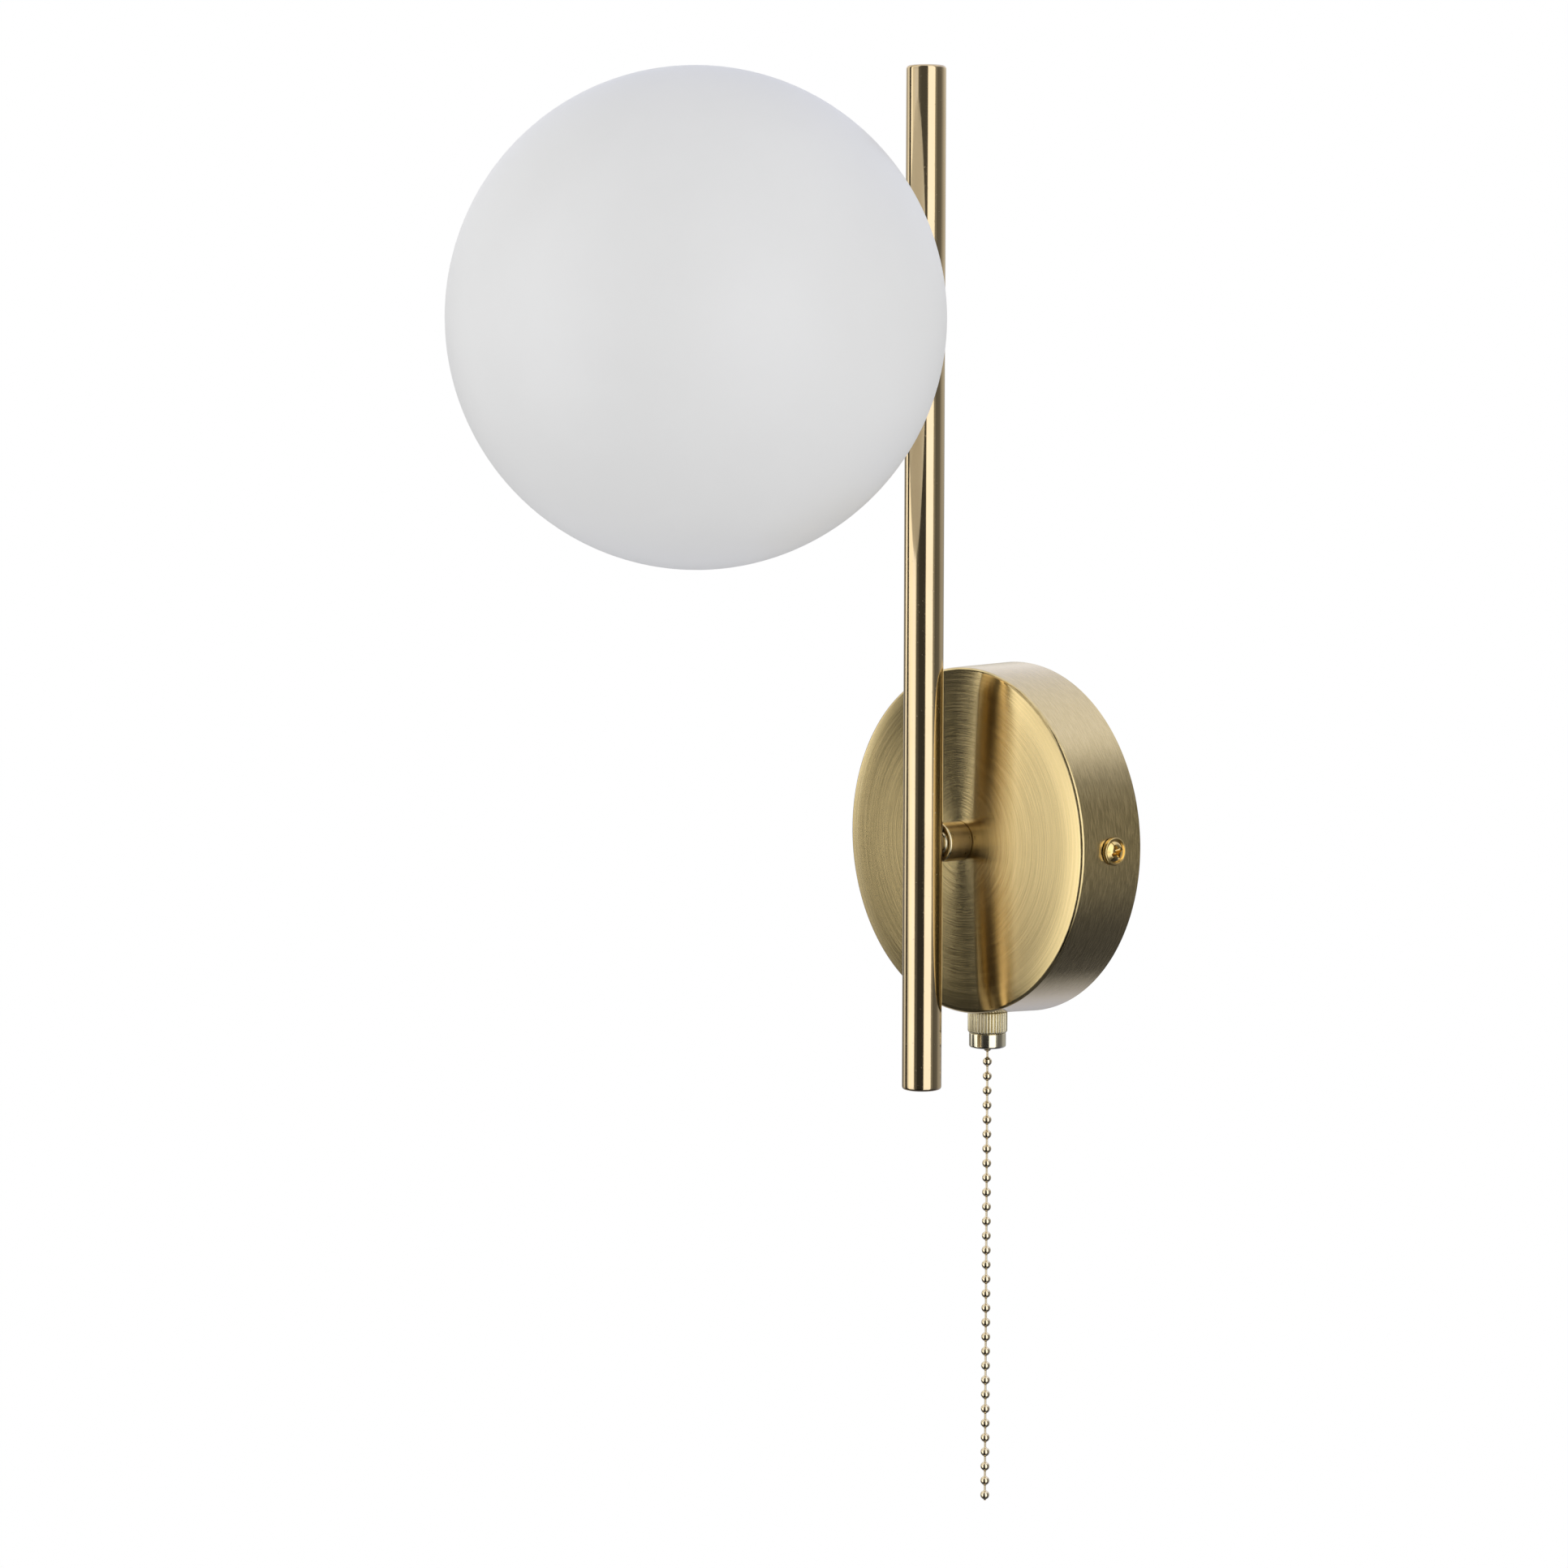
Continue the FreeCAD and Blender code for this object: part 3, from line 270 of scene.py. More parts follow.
def moulded(name, colour, dark, rough, scale=900.0, grain=0.15):
    """Moulded plastic, ceramic or rubber with a fine grain."""
    tree = Tree(name)
    place = tree.place()
    cloud = tree.noise(place, 90.0, 3.0, 0.5)
    fine = tree.noise(place, scale, 3.0, 0.6)
    base = tree.mix(tree.spread(cloud, 0.0, 1.0, 0.3, 0.7), dark, colour)
    roughness = tree.spread(fine, rough * 0.85, rough * 1.15, 0.3, 0.7)
    normal = tree.bump(fine, grain, 0.00005)
    tree.shader(Base_Color=base, Roughness=roughness, Normal=normal)
    return tree.material


def striped_wire():
    """Green insulation with a yellow stripe along it."""
    tree = Tree("insulation_green_yellow")
    place = tree.place()
    wave = tree.node("ShaderNodeTexWave", {"Vector": place, "Scale": 95.0, "Distortion": 0.0},
                     bands_direction="DIAGONAL")
    stripe = tree.spread(wave.outputs[1], 0.0, 1.0, 0.55, 0.6)
    base = tree.mix(stripe, (0.05, 0.28, 0.05), (0.75, 0.62, 0.05))
    fine = tree.noise(place, 1200.0, 2.0, 0.5)
    tree.shader(Base_Color=base, Roughness=tree.spread(fine, 0.35, 0.5, 0.3, 0.7),
                Normal=tree.bump(fine, 0.1, 0.00004))
    return tree.material


GOLD = (0.765, 0.603, 0.36)
GOLD_DARK = (0.725, 0.568, 0.335)
ALONG_UP = (700.0, 700.0, 90.0)
MATERIALS = {
    "plate_brass": brushed_round(
        "brass_brushed_round", (0.82, 0.64, 0.305), (0.71, 0.55, 0.25), 0.17, 0.25
    ),
    "tube_brass": polished("brass_satin_tube", GOLD, GOLD_DARK, 0.10, 0.5, (900.0, 900.0, 30.0)),
    # The spacer's last colour is for its machined end and is partly a painted highlight.
    "spacer_brass": satin_spacer(
        "brass_satin_spacer", (0.62, 0.47, 0.25), (0.52, 0.385, 0.195), 0.34,
        (0.98, 0.86, 0.56), -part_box("spacer")[0][1],
    ),
    "knurl_brass": polished(
        "brass_pale_satin", (1.0, 0.90, 0.61), (0.95, 0.84, 0.54), 0.30, 1.0, ALONG_UP
    ),
    "switch_brass": polished(
        "brass_pale_polished", (0.95, 0.87, 0.65), (0.88, 0.80, 0.58), 0.12, 0.3, ALONG_UP
    ),
    "chain_brass": polished(
        "brass_polished_chain", (1.0, 0.855, 0.58), (0.96, 0.80, 0.52), 0.12, 0.2,
        (600.0, 600.0, 600.0),
    ),
    "screw_brass": polished(
        "brass_yellow_screw", (0.94, 0.70, 0.29), (0.86, 0.62, 0.24), 0.10, 0.3,
        (300.0, 900.0, 900.0),
    ),
    "opal_glass": opal_glass(),
    "zinc_steel": plain_metal("steel_zinc_plated", (0.60, 0.61, 0.62), (0.48, 0.49, 0.50), 0.32),
    "tinned_metal": plain_metal("metal_tinned", (0.74, 0.73, 0.70), (0.62, 0.61, 0.58), 0.24),
    "insert_brass": plain_metal("brass_drawn", (0.72, 0.56, 0.30), (0.60, 0.45, 0.22), 0.28),
    "ceramic_white": moulded(
        "ceramic_steatite", (0.80, 0.78, 0.73), (0.74, 0.71, 0.65), 0.6, 1500.0, 0.3
    ),
    "gasket_soft": moulded("silicone_soft", (0.66, 0.66, 0.64), (0.60, 0.60, 0.58), 0.5),
    "bulb_plastic": moulded("plastic_bulb_base", (0.80, 0.80, 0.78), (0.77, 0.77, 0.75), 0.3),
    "bulb_frosted": moulded("glass_frosted", (0.84, 0.84, 0.82), (0.80, 0.80, 0.78), 0.45),
    "board_white": moulded("board_solder_mask", (0.78, 0.80, 0.76), (0.72, 0.74, 0.70), 0.35),
    "terminal_plastic": moulded("nylon_natural", (0.72, 0.71, 0.65), (0.67, 0.66, 0.60), 0.45),
    "switch_black": moulded("phenolic_black", (0.025, 0.022, 0.020), (0.018, 0.016, 0.015), 0.38),
    "wire_brown": moulded("insulation_brown", (0.16, 0.065, 0.03), (0.13, 0.05, 0.022), 0.42),
    "wire_black": moulded("insulation_black", (0.02, 0.02, 0.02), (0.014, 0.014, 0.014), 0.42),
    "wire_blue": moulded("insulation_blue", (0.03, 0.11, 0.42), (0.02, 0.09, 0.36), 0.42),
    "wire_green": striped_wire(),
}
SLOT_OF = {entry["node"]: entry["material_slot"] for entry in frame["record"]["subparts"]}

for node_name, node in NODES.items():
    material = MATERIALS[SLOT_OF[node_name]]
    for index in range(max(1, len(node.data.materials))):
        if index < len(node.data.materials):
            node.data.materials[index] = material
        else:
            node.data.materials.append(material)


# Own pieces

# Frames for turned pieces: two directions across and the one along the axis
OUT = (Vector((1, 0, 0)), Vector((0, 0, 1)), Vector((0, -1, 0)))
UP = (Vector((1, 0, 0)), Vector((0, 1, 0)), Vector((0, 0, 1)))
RIGHT = (Vector((0, 1, 0)), Vector((0, 0, 1)), Vector((1, 0, 0)))
LEFT = (Vector((0, 1, 0)), Vector((0, 0, 1)), Vector((-1, 0, 0)))

# Radii and thicknesses in millimetres, the same as the part's own
PLATE_WALL_R, PLATE_FACE_R, SHEET = 56.0, 55.0, 1.0
TUBE_R, NIPPLE_R = 6.25, 3.0
CUP_R, CUP_WALL = 17.3, 1.2
GLOBE_R, GLASS, NECK_R = 75.0, 3.0, 15.75
SCREW_HEAD_R, SCREW_HEAD = 4.35, 2.1
KNURL_R, COLLAR_R, BUSHING_R, MOUTH_R = 6.35, 5.9, 4.75, 2.8
BEAD_R, BEAD_PITCH, BEAD_COUNT, RUN_BEADS = 1.45, 4.7, 31, 8
CLEARANCE = 0.05

# The pressed face is flat out to one radius, then falls away to a tilt in degrees at its edge; from
# a second radius on it rolls over by more degrees, and a small rounding leads into the rim
CROWN_FLAT, CROWN_TILT = 8.0, 2.4
CROWN_ROLL_START, CROWN_ROLL = 45.0, 8.0
PLATE_EDGE = 1.3

# Side screws: thread, hole, length, and the cross recess with its half width and reach
SCREW_R, SCREW_HOLE_R, SCREW_LENGTH = 2.0, 2.2, 7.5
CROSS_HALF, CROSS_REACH, CROSS_TURN = 0.66, 3.2, 26.0

PLUG_LENGTH, PLUG_EDGE = 6.0, 1.0
GLOBE_LIP = 0.8
KNURL_RIBS, KNURL_DEPTH = 36, 0.42
COLLAR_FLOOR = 0.8

# Cutters reach from beyond the rim to well inside it, and from the tube's axis past its wall
RIM_OUTSIDE, RIM_INSIDE, TUBE_REACH = 60.0, 48.0, 8.0

# Places in millimetres, read from the frame; out is the distance from the wall
PLATE_DEPTH = -box_mm("wall_plate")[0][1]
SPACER_FRONT = -box_mm("spacer")[0][1]
TUBE_OUT = SPACER_FRONT + TUBE_R
TUBE_LOW = box_mm("tube_plug_bottom")[0][2]
TUBE_HIGH = box_mm("tube_plug_top")[1][2]
PLUG_HEAD = TUBE_HIGH - box_mm("tube")[1][2]
CUP_BACK, CUP_FRONT = -box_mm("globe_cup")[1][1], -box_mm("globe_cup")[0][1]
ARM_Z = (box_mm("globe_cup")[0][2] + box_mm("globe_cup")[1][2]) / 2
GLOBE_BACK = -box_mm("glass_globe")[1][1]
GLOBE_OUT = -box_mm("glass_globe")[0][1] - GLOBE_R
SCREW_OUT = -(box_mm("side_screws")[0][1] + box_mm("side_screws")[1][1]) / 2
SCREW_FACE = box_mm("side_screws")[1][0]
SWITCH_OUT = -(box_mm("knurled_nut")[0][1] + box_mm("knurled_nut")[1][1]) / 2
KNURL_LOW, KNURL_HIGH = box_mm("knurled_nut")[0][2], box_mm("knurled_nut")[1][2]
MOUTH_Z = box_mm("switch_collar")[0][2]
RUN_MIDDLE = (box_mm("chain_beads_1")[0][2] + box_mm("chain_beads_1")[1][2]) / 2
BEAD_ZERO = RUN_MIDDLE + BEAD_PITCH * (1 + RUN_BEADS) / 2
SEAT_FLAT_Z = KNURL_HIGH + CLEARANCE
SEAT_FLAT_MARGIN = 0.25
NIPPLE_HOLE = NIPPLE_R + CLEARANCE
BUSHING_HOLE = BUSHING_R + CLEARANCE


def flat_arc(centre, start, end, steps):
    """Points from start to end round a centre, the short way, both ends included."""
    first = math.atan2(start[1] - centre[1], start[0] - centre[0])
    turn = math.atan2(end[1] - centre[1], end[0] - centre[0]) - first
    turn = (turn + math.pi) % (2 * math.pi) - math.pi
    reach = math.dist(centre, start)
    return [
        (centre[0] + reach * math.cos(first + turn * i / steps),
         centre[1] + reach * math.sin(first + turn * i / steps))
        for i in range(steps + 1)
    ]


def profile(*corners, steps=8):
    """Closed outline through (radius, along) corners; a third number rounds that corner."""
    points = []
    for index, corner in enumerate(corners):
        here = Vector(corner[:2])
        radius = corner[2] if len(corner) > 2 else 0.0
        if not radius:
            points.append(tuple(here))
            continue
        before = (Vector(corners[index - 1][:2]) - here).normalized()
        after = (Vector(corners[(index + 1) % len(corners)][:2]) - here).normalized()
        half = before.angle(after) / 2
        centre = here + (before + after).normalized() * (radius / math.sin(half))
        reach = radius / math.tan(half)
        start, end = tuple(here + before * reach), tuple(here + after * reach)
        points += flat_arc(tuple(centre), start, end, steps)
    return points


def turned_mesh(shape, outline, axes, place=(0, 0, 0), steps=96):
    """Revolve (radius, along) millimetre points about an axis, into a mesh being built."""
    across, other, along = axes
    start = Vector(place)
    rings = []
    for radius, reach in outline:
        middle = start + along * reach
        if radius < 1e-6:
            rings.append([shape.verts.new(middle * MM)] * steps)
            continue
        rings.append([
            shape.verts.new((middle + (across * math.cos(t) + other * math.sin(t)) * radius) * MM)
            for t in (2 * math.pi * i / steps for i in range(steps))
        ])
    count = len(rings)
    for index in range(count):
        one, two = rings[index], rings[(index + 1) % count]
        if one[0] is one[1] and two[0] is two[1]:
            continue
        for i in range(steps):
            j = (i + 1) % steps
            corners = []
            for vert in (one[i], one[j], two[j], two[i]):
                if vert not in corners:
                    corners.append(vert)
            shape.faces.new(corners)


def finish_mesh(shape, name, sharp=32.0):
    """Mesh object from a mesh being built, smooth but for its sharp corners."""
    bmesh.ops.recalc_face_normals(shape, faces=shape.faces)
    mesh = bpy.data.meshes.new(name)
    shape.to_mesh(mesh)
    shape.free()
    mesh.shade_smooth()
    mesh.set_sharp_from_angle(angle=math.radians(sharp))
    made = bpy.data.objects.new(name, mesh)
    bpy.context.scene.collection.objects.link(made)
    return made


def turned(name, outline, axes, place=(0, 0, 0), steps=96, sharp=32.0):
    shape = bmesh.new()
    turned_mesh(shape, outline, axes, place, steps)
    return finish_mesh(shape, name, sharp)


def cut(piece, cutters, sharp=32.0):
    """Cut one piece by others, which go away."""
    for cutter in cutters:
        step = piece.modifiers.new("cut", "BOOLEAN")
        step.operation = "DIFFERENCE"
        step.solver = "EXACT"
        step.object = cutter
    graph = bpy.context.evaluated_depsgraph_get()
    mesh = bpy.data.meshes.new_from_object(piece.evaluated_get(graph))
    piece.modifiers.clear()
    piece.data = mesh
    for cutter in cutters:
        bpy.data.objects.remove(cutter)
    mesh.shade_smooth()
    mesh.set_sharp_from_angle(angle=math.radians(sharp))
    return piece


def dress(piece, body, slot, *nodes):
    """Let a piece ride a body and stand for CAD nodes, in their slot's material."""
    piece.data.materials.clear()
    piece.data.materials.append(MATERIALS[slot])
    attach(piece, body)
    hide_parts(*nodes)
    return piece


def rod_cutter(radius, axes, place, start, end):
    return turned("cutter", [(0, start), (radius, start), (radius, end), (0, end)], axes, place, 48)


def crowned_face(start, end, steps=40):
    """Points from the hole to the edge of the pressed face, which falls away towards its edge."""
    points = [(start, PLATE_DEPTH)]
    drop = 0.0
    for index in range(1, steps + 1):
        radius = start + (end - start) * index / steps
        fall = max(0.0, (radius - CROWN_FLAT) / (end - CROWN_FLAT))
        roll = max(0.0, (radius - CROWN_ROLL_START) / (end - CROWN_ROLL_START))
        tilt = CROWN_TILT * fall + CROWN_ROLL * roll**2
        drop += math.tan(math.radians(tilt)) * (end - start) / steps
        points.append((radius, PLATE_DEPTH - drop))
    return points


def make_plate():
    inner_depth = PLATE_DEPTH - SHEET
    slope = (PLATE_WALL_R - PLATE_FACE_R) / PLATE_DEPTH
    inner_face = PLATE_WALL_R - slope * inner_depth - SHEET
    face = crowned_face(NIPPLE_HOLE, PLATE_WALL_R - slope * PLATE_DEPTH - PLATE_EDGE)
    last, before = face[-1], face[-2]
    tilt = math.atan2(before[1] - last[1], last[0] - before[0])
    lean = math.atan(slope)
    centre_out = last[1] - PLATE_EDGE * math.cos(tilt)
    centre = (PLATE_WALL_R - slope * centre_out - PLATE_EDGE / math.cos(lean), centre_out)
    edge = [
        (centre[0] + PLATE_EDGE * math.cos(t), centre[1] + PLATE_EDGE * math.sin(t))
        for t in (lean + (math.pi / 2 - tilt - lean) * i / 14 for i in range(15))
    ]
    outline = [(PLATE_WALL_R, 0.0), *edge, *reversed(face[:-1])]
    outline += profile(
        (NIPPLE_HOLE, inner_depth - 0.5), (inner_face - 1.0, inner_depth - 1.6, 1.5),
        (PLATE_WALL_R - SHEET, 0.0),
    )
    plate = turned("dressed_wall_plate", outline, OUT, steps=256)
    switch = (0, -SWITCH_OUT, 0)
    holes = [
        rod_cutter(SCREW_HOLE_R, RIGHT, (0, -SCREW_OUT, 0), -RIM_OUTSIDE, RIM_OUTSIDE),
        rod_cutter(BUSHING_HOLE, UP, switch, -RIM_OUTSIDE, -RIM_INSIDE),
        rod_cutter(KNURL_R + SEAT_FLAT_MARGIN, UP, switch, -RIM_OUTSIDE, SEAT_FLAT_Z),
    ]
    return dress(cut(plate, holes), "base", "plate_brass", "wall_plate")


def make_tube():
    low, high = TUBE_LOW + PLUG_HEAD, TUBE_HIGH - PLUG_HEAD
    bore = TUBE_R - SHEET
    tube = turned(
        "dressed_tube", profile((TUBE_R, low), (TUBE_R, high), (bore, high), (bore, low)),
        UP, (0, -TUBE_OUT, 0), steps=128,
    )
    holes = [
        rod_cutter(NIPPLE_HOLE, OUT, (0, 0, 0), TUBE_OUT - TUBE_REACH, TUBE_OUT),
        rod_cutter(NIPPLE_HOLE, OUT, (0, 0, ARM_Z), TUBE_OUT, TUBE_OUT + TUBE_REACH),
    ]
    return dress(cut(tube, holes), "base", "tube_brass", "tube")


def make_plug(name, end, inward, node):
    shoulder = end + inward * PLUG_HEAD
    tip = shoulder + inward * PLUG_LENGTH
    stem = TUBE_R - SHEET - CLEARANCE
    outline = profile(
        (0.0, end), (TUBE_R, end, PLUG_EDGE), (TUBE_R, shoulder), (stem, shoulder),
        (stem, tip, 0.5), (0.0, tip),
    )
    return dress(turned(name, outline, UP, (0, -TUBE_OUT, 0), 128), "base", "tube_brass", node)


def make_spacer():
    """Turned spacer with a machined front end: a rounded rim and one turned groove catch the light.
    """
    outline = profile(
        (NIPPLE_HOLE, PLATE_DEPTH), (TUBE_R - 0.4, PLATE_DEPTH), (TUBE_R, PLATE_DEPTH + 0.3, 0.1),
        (TUBE_R, SPACER_FRONT, 0.55), (4.9, SPACER_FRONT), (4.3, SPACER_FRONT - 0.7),
        (3.8, SPACER_FRONT), (NIPPLE_HOLE, SPACER_FRONT),
    )
    spacer = turned("dressed_spacer", outline, OUT, steps=128)
    return dress(spacer, "base", "spacer_brass", "spacer")


def make_cup():
    bore = CUP_R - CUP_WALL
    floor = CUP_BACK + CUP_WALL
    outline = profile(
        (NIPPLE_HOLE, CUP_BACK), (CUP_R, CUP_BACK, 0.8), (CUP_R, CUP_FRONT, 0.25),
        (bore, CUP_FRONT), (bore, floor), (NIPPLE_HOLE, floor),
    )
    cup = turned("dressed_globe_cup", outline, OUT, (0, 0, ARM_Z), 128)
    return dress(cup, "base", "tube_brass", "globe_cup")


def sphere_arc(radius, start, end, steps):
    """Points of the globe's outline between two angles, the last left out; pi / 2 is its front."""
    return [
        (radius * math.cos(t), GLOBE_OUT + radius * math.sin(t))
        for t in (start + (end - start) * i / steps for i in range(steps))
    ]


def make_globe():
    """Blown ball with its mouth drawn into a short neck."""
    lip = GLOBE_LIP
    inner, bore = GLOBE_R - GLASS, NECK_R - GLASS
    root = (NECK_R + lip, GLOBE_OUT - math.sqrt((GLOBE_R + lip) ** 2 - (NECK_R + lip) ** 2))
    share = GLOBE_R / (GLOBE_R + lip)
    touch = (root[0] * share, GLOBE_OUT + (root[1] - GLOBE_OUT) * share)
    mouth = (bore, GLOBE_OUT - math.sqrt(inner**2 - bore**2))
    front = math.pi / 2
    outline = sphere_arc(GLOBE_R, front, math.atan2(touch[1] - GLOBE_OUT, touch[0]), 88)
    outline[0] = (0.0, GLOBE_OUT + GLOBE_R)
    outline += flat_arc(root, touch, (NECK_R, root[1]), 6)
    outline += flat_arc(
        (NECK_R - lip, GLOBE_BACK + lip), (NECK_R, GLOBE_BACK + lip), (NECK_R - lip, GLOBE_BACK), 6
    )
    outline += [(bore, GLOBE_BACK)]
    outline += sphere_arc(inner, math.atan2(mouth[1] - GLOBE_OUT, mouth[0]), front, 64)
    outline += [(0.0, GLOBE_OUT + inner)]
    globe = turned("dressed_glass_globe", outline, OUT, (0, 0, ARM_Z), 160)
    return dress(globe, "globe", "opal_glass", "glass_globe")


def make_side_screws():
    """Two low pan heads, each with a raised crown inside a rim and a tapered cross recess."""
    seat = SCREW_FACE - SCREW_HEAD
    heads = []
    for name, axes in (("right", RIGHT), ("left", LEFT)):
        outline = profile(
            (0.0, seat - SCREW_LENGTH), (SCREW_R, seat - SCREW_LENGTH, 0.3), (SCREW_R, seat),
            (SCREW_HEAD_R, seat), (SCREW_HEAD_R, seat + 1.3, 0.25),
            (3.75, seat + 1.45, 0.15), (3.6, seat + 0.95, 0.1),
            (3.35, seat + 1.0, 0.1), (2.1, seat + 2.0, 2.0), (0.0, SCREW_FACE), steps=6,
        )
        head = turned("dressed_side_screw_" + name, outline, axes, (0, -SCREW_OUT, 0), 64)
        heads.append(cut(head, [cross_cutter(axes)]))
    shape = bmesh.new()
    for head in heads:
        shape.from_mesh(head.data)
        bpy.data.objects.remove(head)
    screws = finish_mesh(shape, "dressed_side_screws", 40.0)
    return dress(screws, "base", "screw_brass", "side_screws")


def cross_cutter(axes):
    """Tapered cross with a pointed bottom, turned a little as a driven screw stops anywhere."""
    across, other, along = axes
    middle = Vector((0, -SCREW_OUT, 0))
    reach, half = CROSS_REACH, CROSS_HALF
    inside = half * 1.25
    outline = []
    for quarter in range(4):
        turn = math.radians(CROSS_TURN + 90 * quarter)
        cos, sin = math.cos(turn), math.sin(turn)
        for x, y in ((reach, -half), (reach, half), (inside, inside)):
            outline.append((x * cos - y * sin, x * sin + y * cos))
    shape = bmesh.new()
    layers = []
    for depth, scale in ((1.0, 1.12), (-1.35, 0.40)):
        level = middle + along * (SCREW_FACE + depth)
        layers.append([
            shape.verts.new((level + (across * x + other * y) * scale) * MM) for x, y in outline
        ])
    tip = shape.verts.new((middle + along * (SCREW_FACE - 1.8)) * MM)
    top = shape.verts.new((middle + along * (SCREW_FACE + 1.0)) * MM)
    count = len(outline)
    for i in range(count):
        j = (i + 1) % count
        shape.faces.new((layers[0][i], layers[0][j], layers[1][j], layers[1][i]))
        shape.faces.new((layers[1][i], layers[1][j], tip))
        shape.faces.new((layers[0][j], layers[0][i], top))
    return finish_mesh(shape, "cutter")


def make_knurled_nut():
    """Nut with straight rounded ribs, narrow grooves between them and chamfered ends."""
    # One rib: places from 0 to 1 across it, and how far each is sunk, as a share of the depth
    half_rib = ((0.0, 1.0), (0.09, 0.55), (0.2, 0.16), (0.35, 0.02))
    rib = (*half_rib, (0.5, 0.0), *((1.0 - place, sink) for place, sink in half_rib[:0:-1]))
    turns = [
        (2 * math.pi * (index + place) / KNURL_RIBS, sink)
        for index in range(KNURL_RIBS) for place, sink in rib
    ]
    # Each end: rise from it, inset of the radius, and the share of the ribs' depth
    end = ((0.0, 0.6, 0.0), (0.22, 0.35, 0.15), (0.5, 0.1, 0.8), (0.75, 0.0, 1.0))
    levels = [(KNURL_LOW + rise, KNURL_R - inset, share) for rise, inset, share in end]
    levels += [(KNURL_HIGH - rise, KNURL_R - inset, share) for rise, inset, share in reversed(end)]
    levels += [(KNURL_HIGH, BUSHING_HOLE, 0.0), (KNURL_LOW, BUSHING_HOLE, 0.0)]
    shape = bmesh.new()
    rings = []
    for z, radius, share in levels:
        ring = []
        for turn, sink in turns:
            reach = radius - KNURL_DEPTH * sink * share
            place = Vector((reach * math.cos(turn), reach * math.sin(turn) - SWITCH_OUT, z))
            ring.append(shape.verts.new(place * MM))
        rings.append(ring)
    size = len(turns)
    for one, two in zip(rings, rings[1:] + rings[:1]):
        for i in range(size):
            j = (i + 1) % size
            shape.faces.new((one[i], one[j], two[j], two[i]))
    nut = finish_mesh(shape, "dressed_knurled_nut", 50.0)
    return dress(nut, "base", "knurl_brass", "knurled_nut")


def make_collar():
    floor = MOUTH_Z + COLLAR_FLOOR
    outline = profile(
        (MOUTH_R, MOUTH_Z, 0.3), (COLLAR_R, MOUTH_Z, 0.8), (COLLAR_R, KNURL_LOW, 0.2),
        (BUSHING_HOLE, KNURL_LOW), (BUSHING_HOLE, floor), (MOUTH_R, floor),
    )
    collar = turned("dressed_switch_collar", outline, UP, (0, -SWITCH_OUT, 0), 128)
    return dress(collar, "base", "switch_brass", "switch_collar")


def bead_outline():
    """Hollow bead with a small hole at each pole for the link's ball end."""
    hole, sheet = 0.56, 0.2
    inner_r = BEAD_R - sheet
    outer, inner = math.asin(hole / BEAD_R), math.asin(hole / inner_r)
    points = [
        (BEAD_R * math.sin(t), BEAD_R * math.cos(t))
        for t in (outer + (math.pi - 2 * outer) * i / 20 for i in range(21))
    ]
    points += [
        (inner_r * math.sin(t), -inner_r * math.cos(t))
        for t in (inner + (math.pi - 2 * inner) * i / 12 for i in range(13))
    ]
    return points


def bead_z(index):
    return BEAD_ZERO - index * BEAD_PITCH


def make_beads(name, body, first, last, node):
    shape = bmesh.new()
    outline = bead_outline()
    for index in range(first, last + 1):
        turned_mesh(shape, outline, UP, (0, -SWITCH_OUT, bead_z(index)), 32)
    return dress(finish_mesh(shape, name), body, "chain_brass", node)


def make_chain():
    make_beads("dressed_beads_inside", "pull", -1, 0, "chain_beads_inside")
    for run in range(1, 5):
        first = RUN_BEADS * (run - 1) + 1
        last = min(RUN_BEADS * run, BEAD_COUNT)
        make_beads(f"dressed_beads_{run}", f"run_{run}", first, last, f"chain_beads_{run}")


make_plate()
make_tube()
make_plug("dressed_plug_top", TUBE_HIGH, -1, "tube_plug_top")
make_plug("dressed_plug_bottom", TUBE_LOW, 1, "tube_plug_bottom")
make_spacer()
make_cup()
make_globe()
make_side_screws()
make_knurled_nut()
make_collar()
make_chain()


# Studio


def stage_mesh(name, points, faces, material):
    mesh = bpy.data.meshes.new(name)
    mesh.from_pydata(points, [], faces)
    mesh.materials.append(material)
    made = bpy.data.objects.new(name, mesh)
    bpy.context.scene.collection.objects.link(made)
    return made


def glow():
    """Light whose brightness and coolness are kept at the card's own points; deep echoes fade."""
    tree = Tree("studio_glow")
    level = tree.node("ShaderNodeAttribute", attribute_name="level").outputs["Fac"]
    cool = tree.node("ShaderNodeAttribute", attribute_name="cool").outputs["Fac"]
    tint = tree.mix(cool, (1.0, 1.0, 1.0), (0.94, 1.0, 1.3))
    echoes = tree.node("ShaderNodeLightPath").outputs["Glossy Depth"]
    level = tree.math("MULTIPLY", level, tree.spread(echoes, 1.0, 0.1, 2.0, 3.5))
    light = tree.node("ShaderNodeEmission", {"Color": tint, "Strength": level})
    tree.links.new(light.outputs[0], tree.out.inputs[0])
    return tree.material


GLOW = glow()


def card(name, points, faces, levels, cools):
    """Glowing card that only reflections see."""
    made = stage_mesh(name, points, faces, GLOW)
    for kind, values in (("level", levels), ("cool", cools)):
        kept = made.data.attributes.new(kind, "FLOAT", "POINT")
        for item, value in zip(kept.data, values):
            item.value = value
    made.visible_camera = False
    made.visible_diffuse = False
    made.visible_shadow = False
    made.visible_transmission = False
    return made


# Brightness round the object, chosen so that its metal reflects what the photograph shows. Each
# line of the surround starts with an azimuth in degrees, 0 in front of the lamp and 90 to its
# right, and has one number for each height, which is in degrees as well.
HEIGHTS = (-60, -48, -38, -25, -8, 2, 10, 18, 30, 40, 50, 62)
DIM = (0.03, 0.03, 0.03, 0.03, 0.03, 0.04, 0.05, 0.06, 0.08, 0.10, 0.12, 0.15)


EVEN = (0.03, 0.05, 0.12, 0.75, 1, 1, 1, 1, 1, 0.95, 0.85, 0.75)


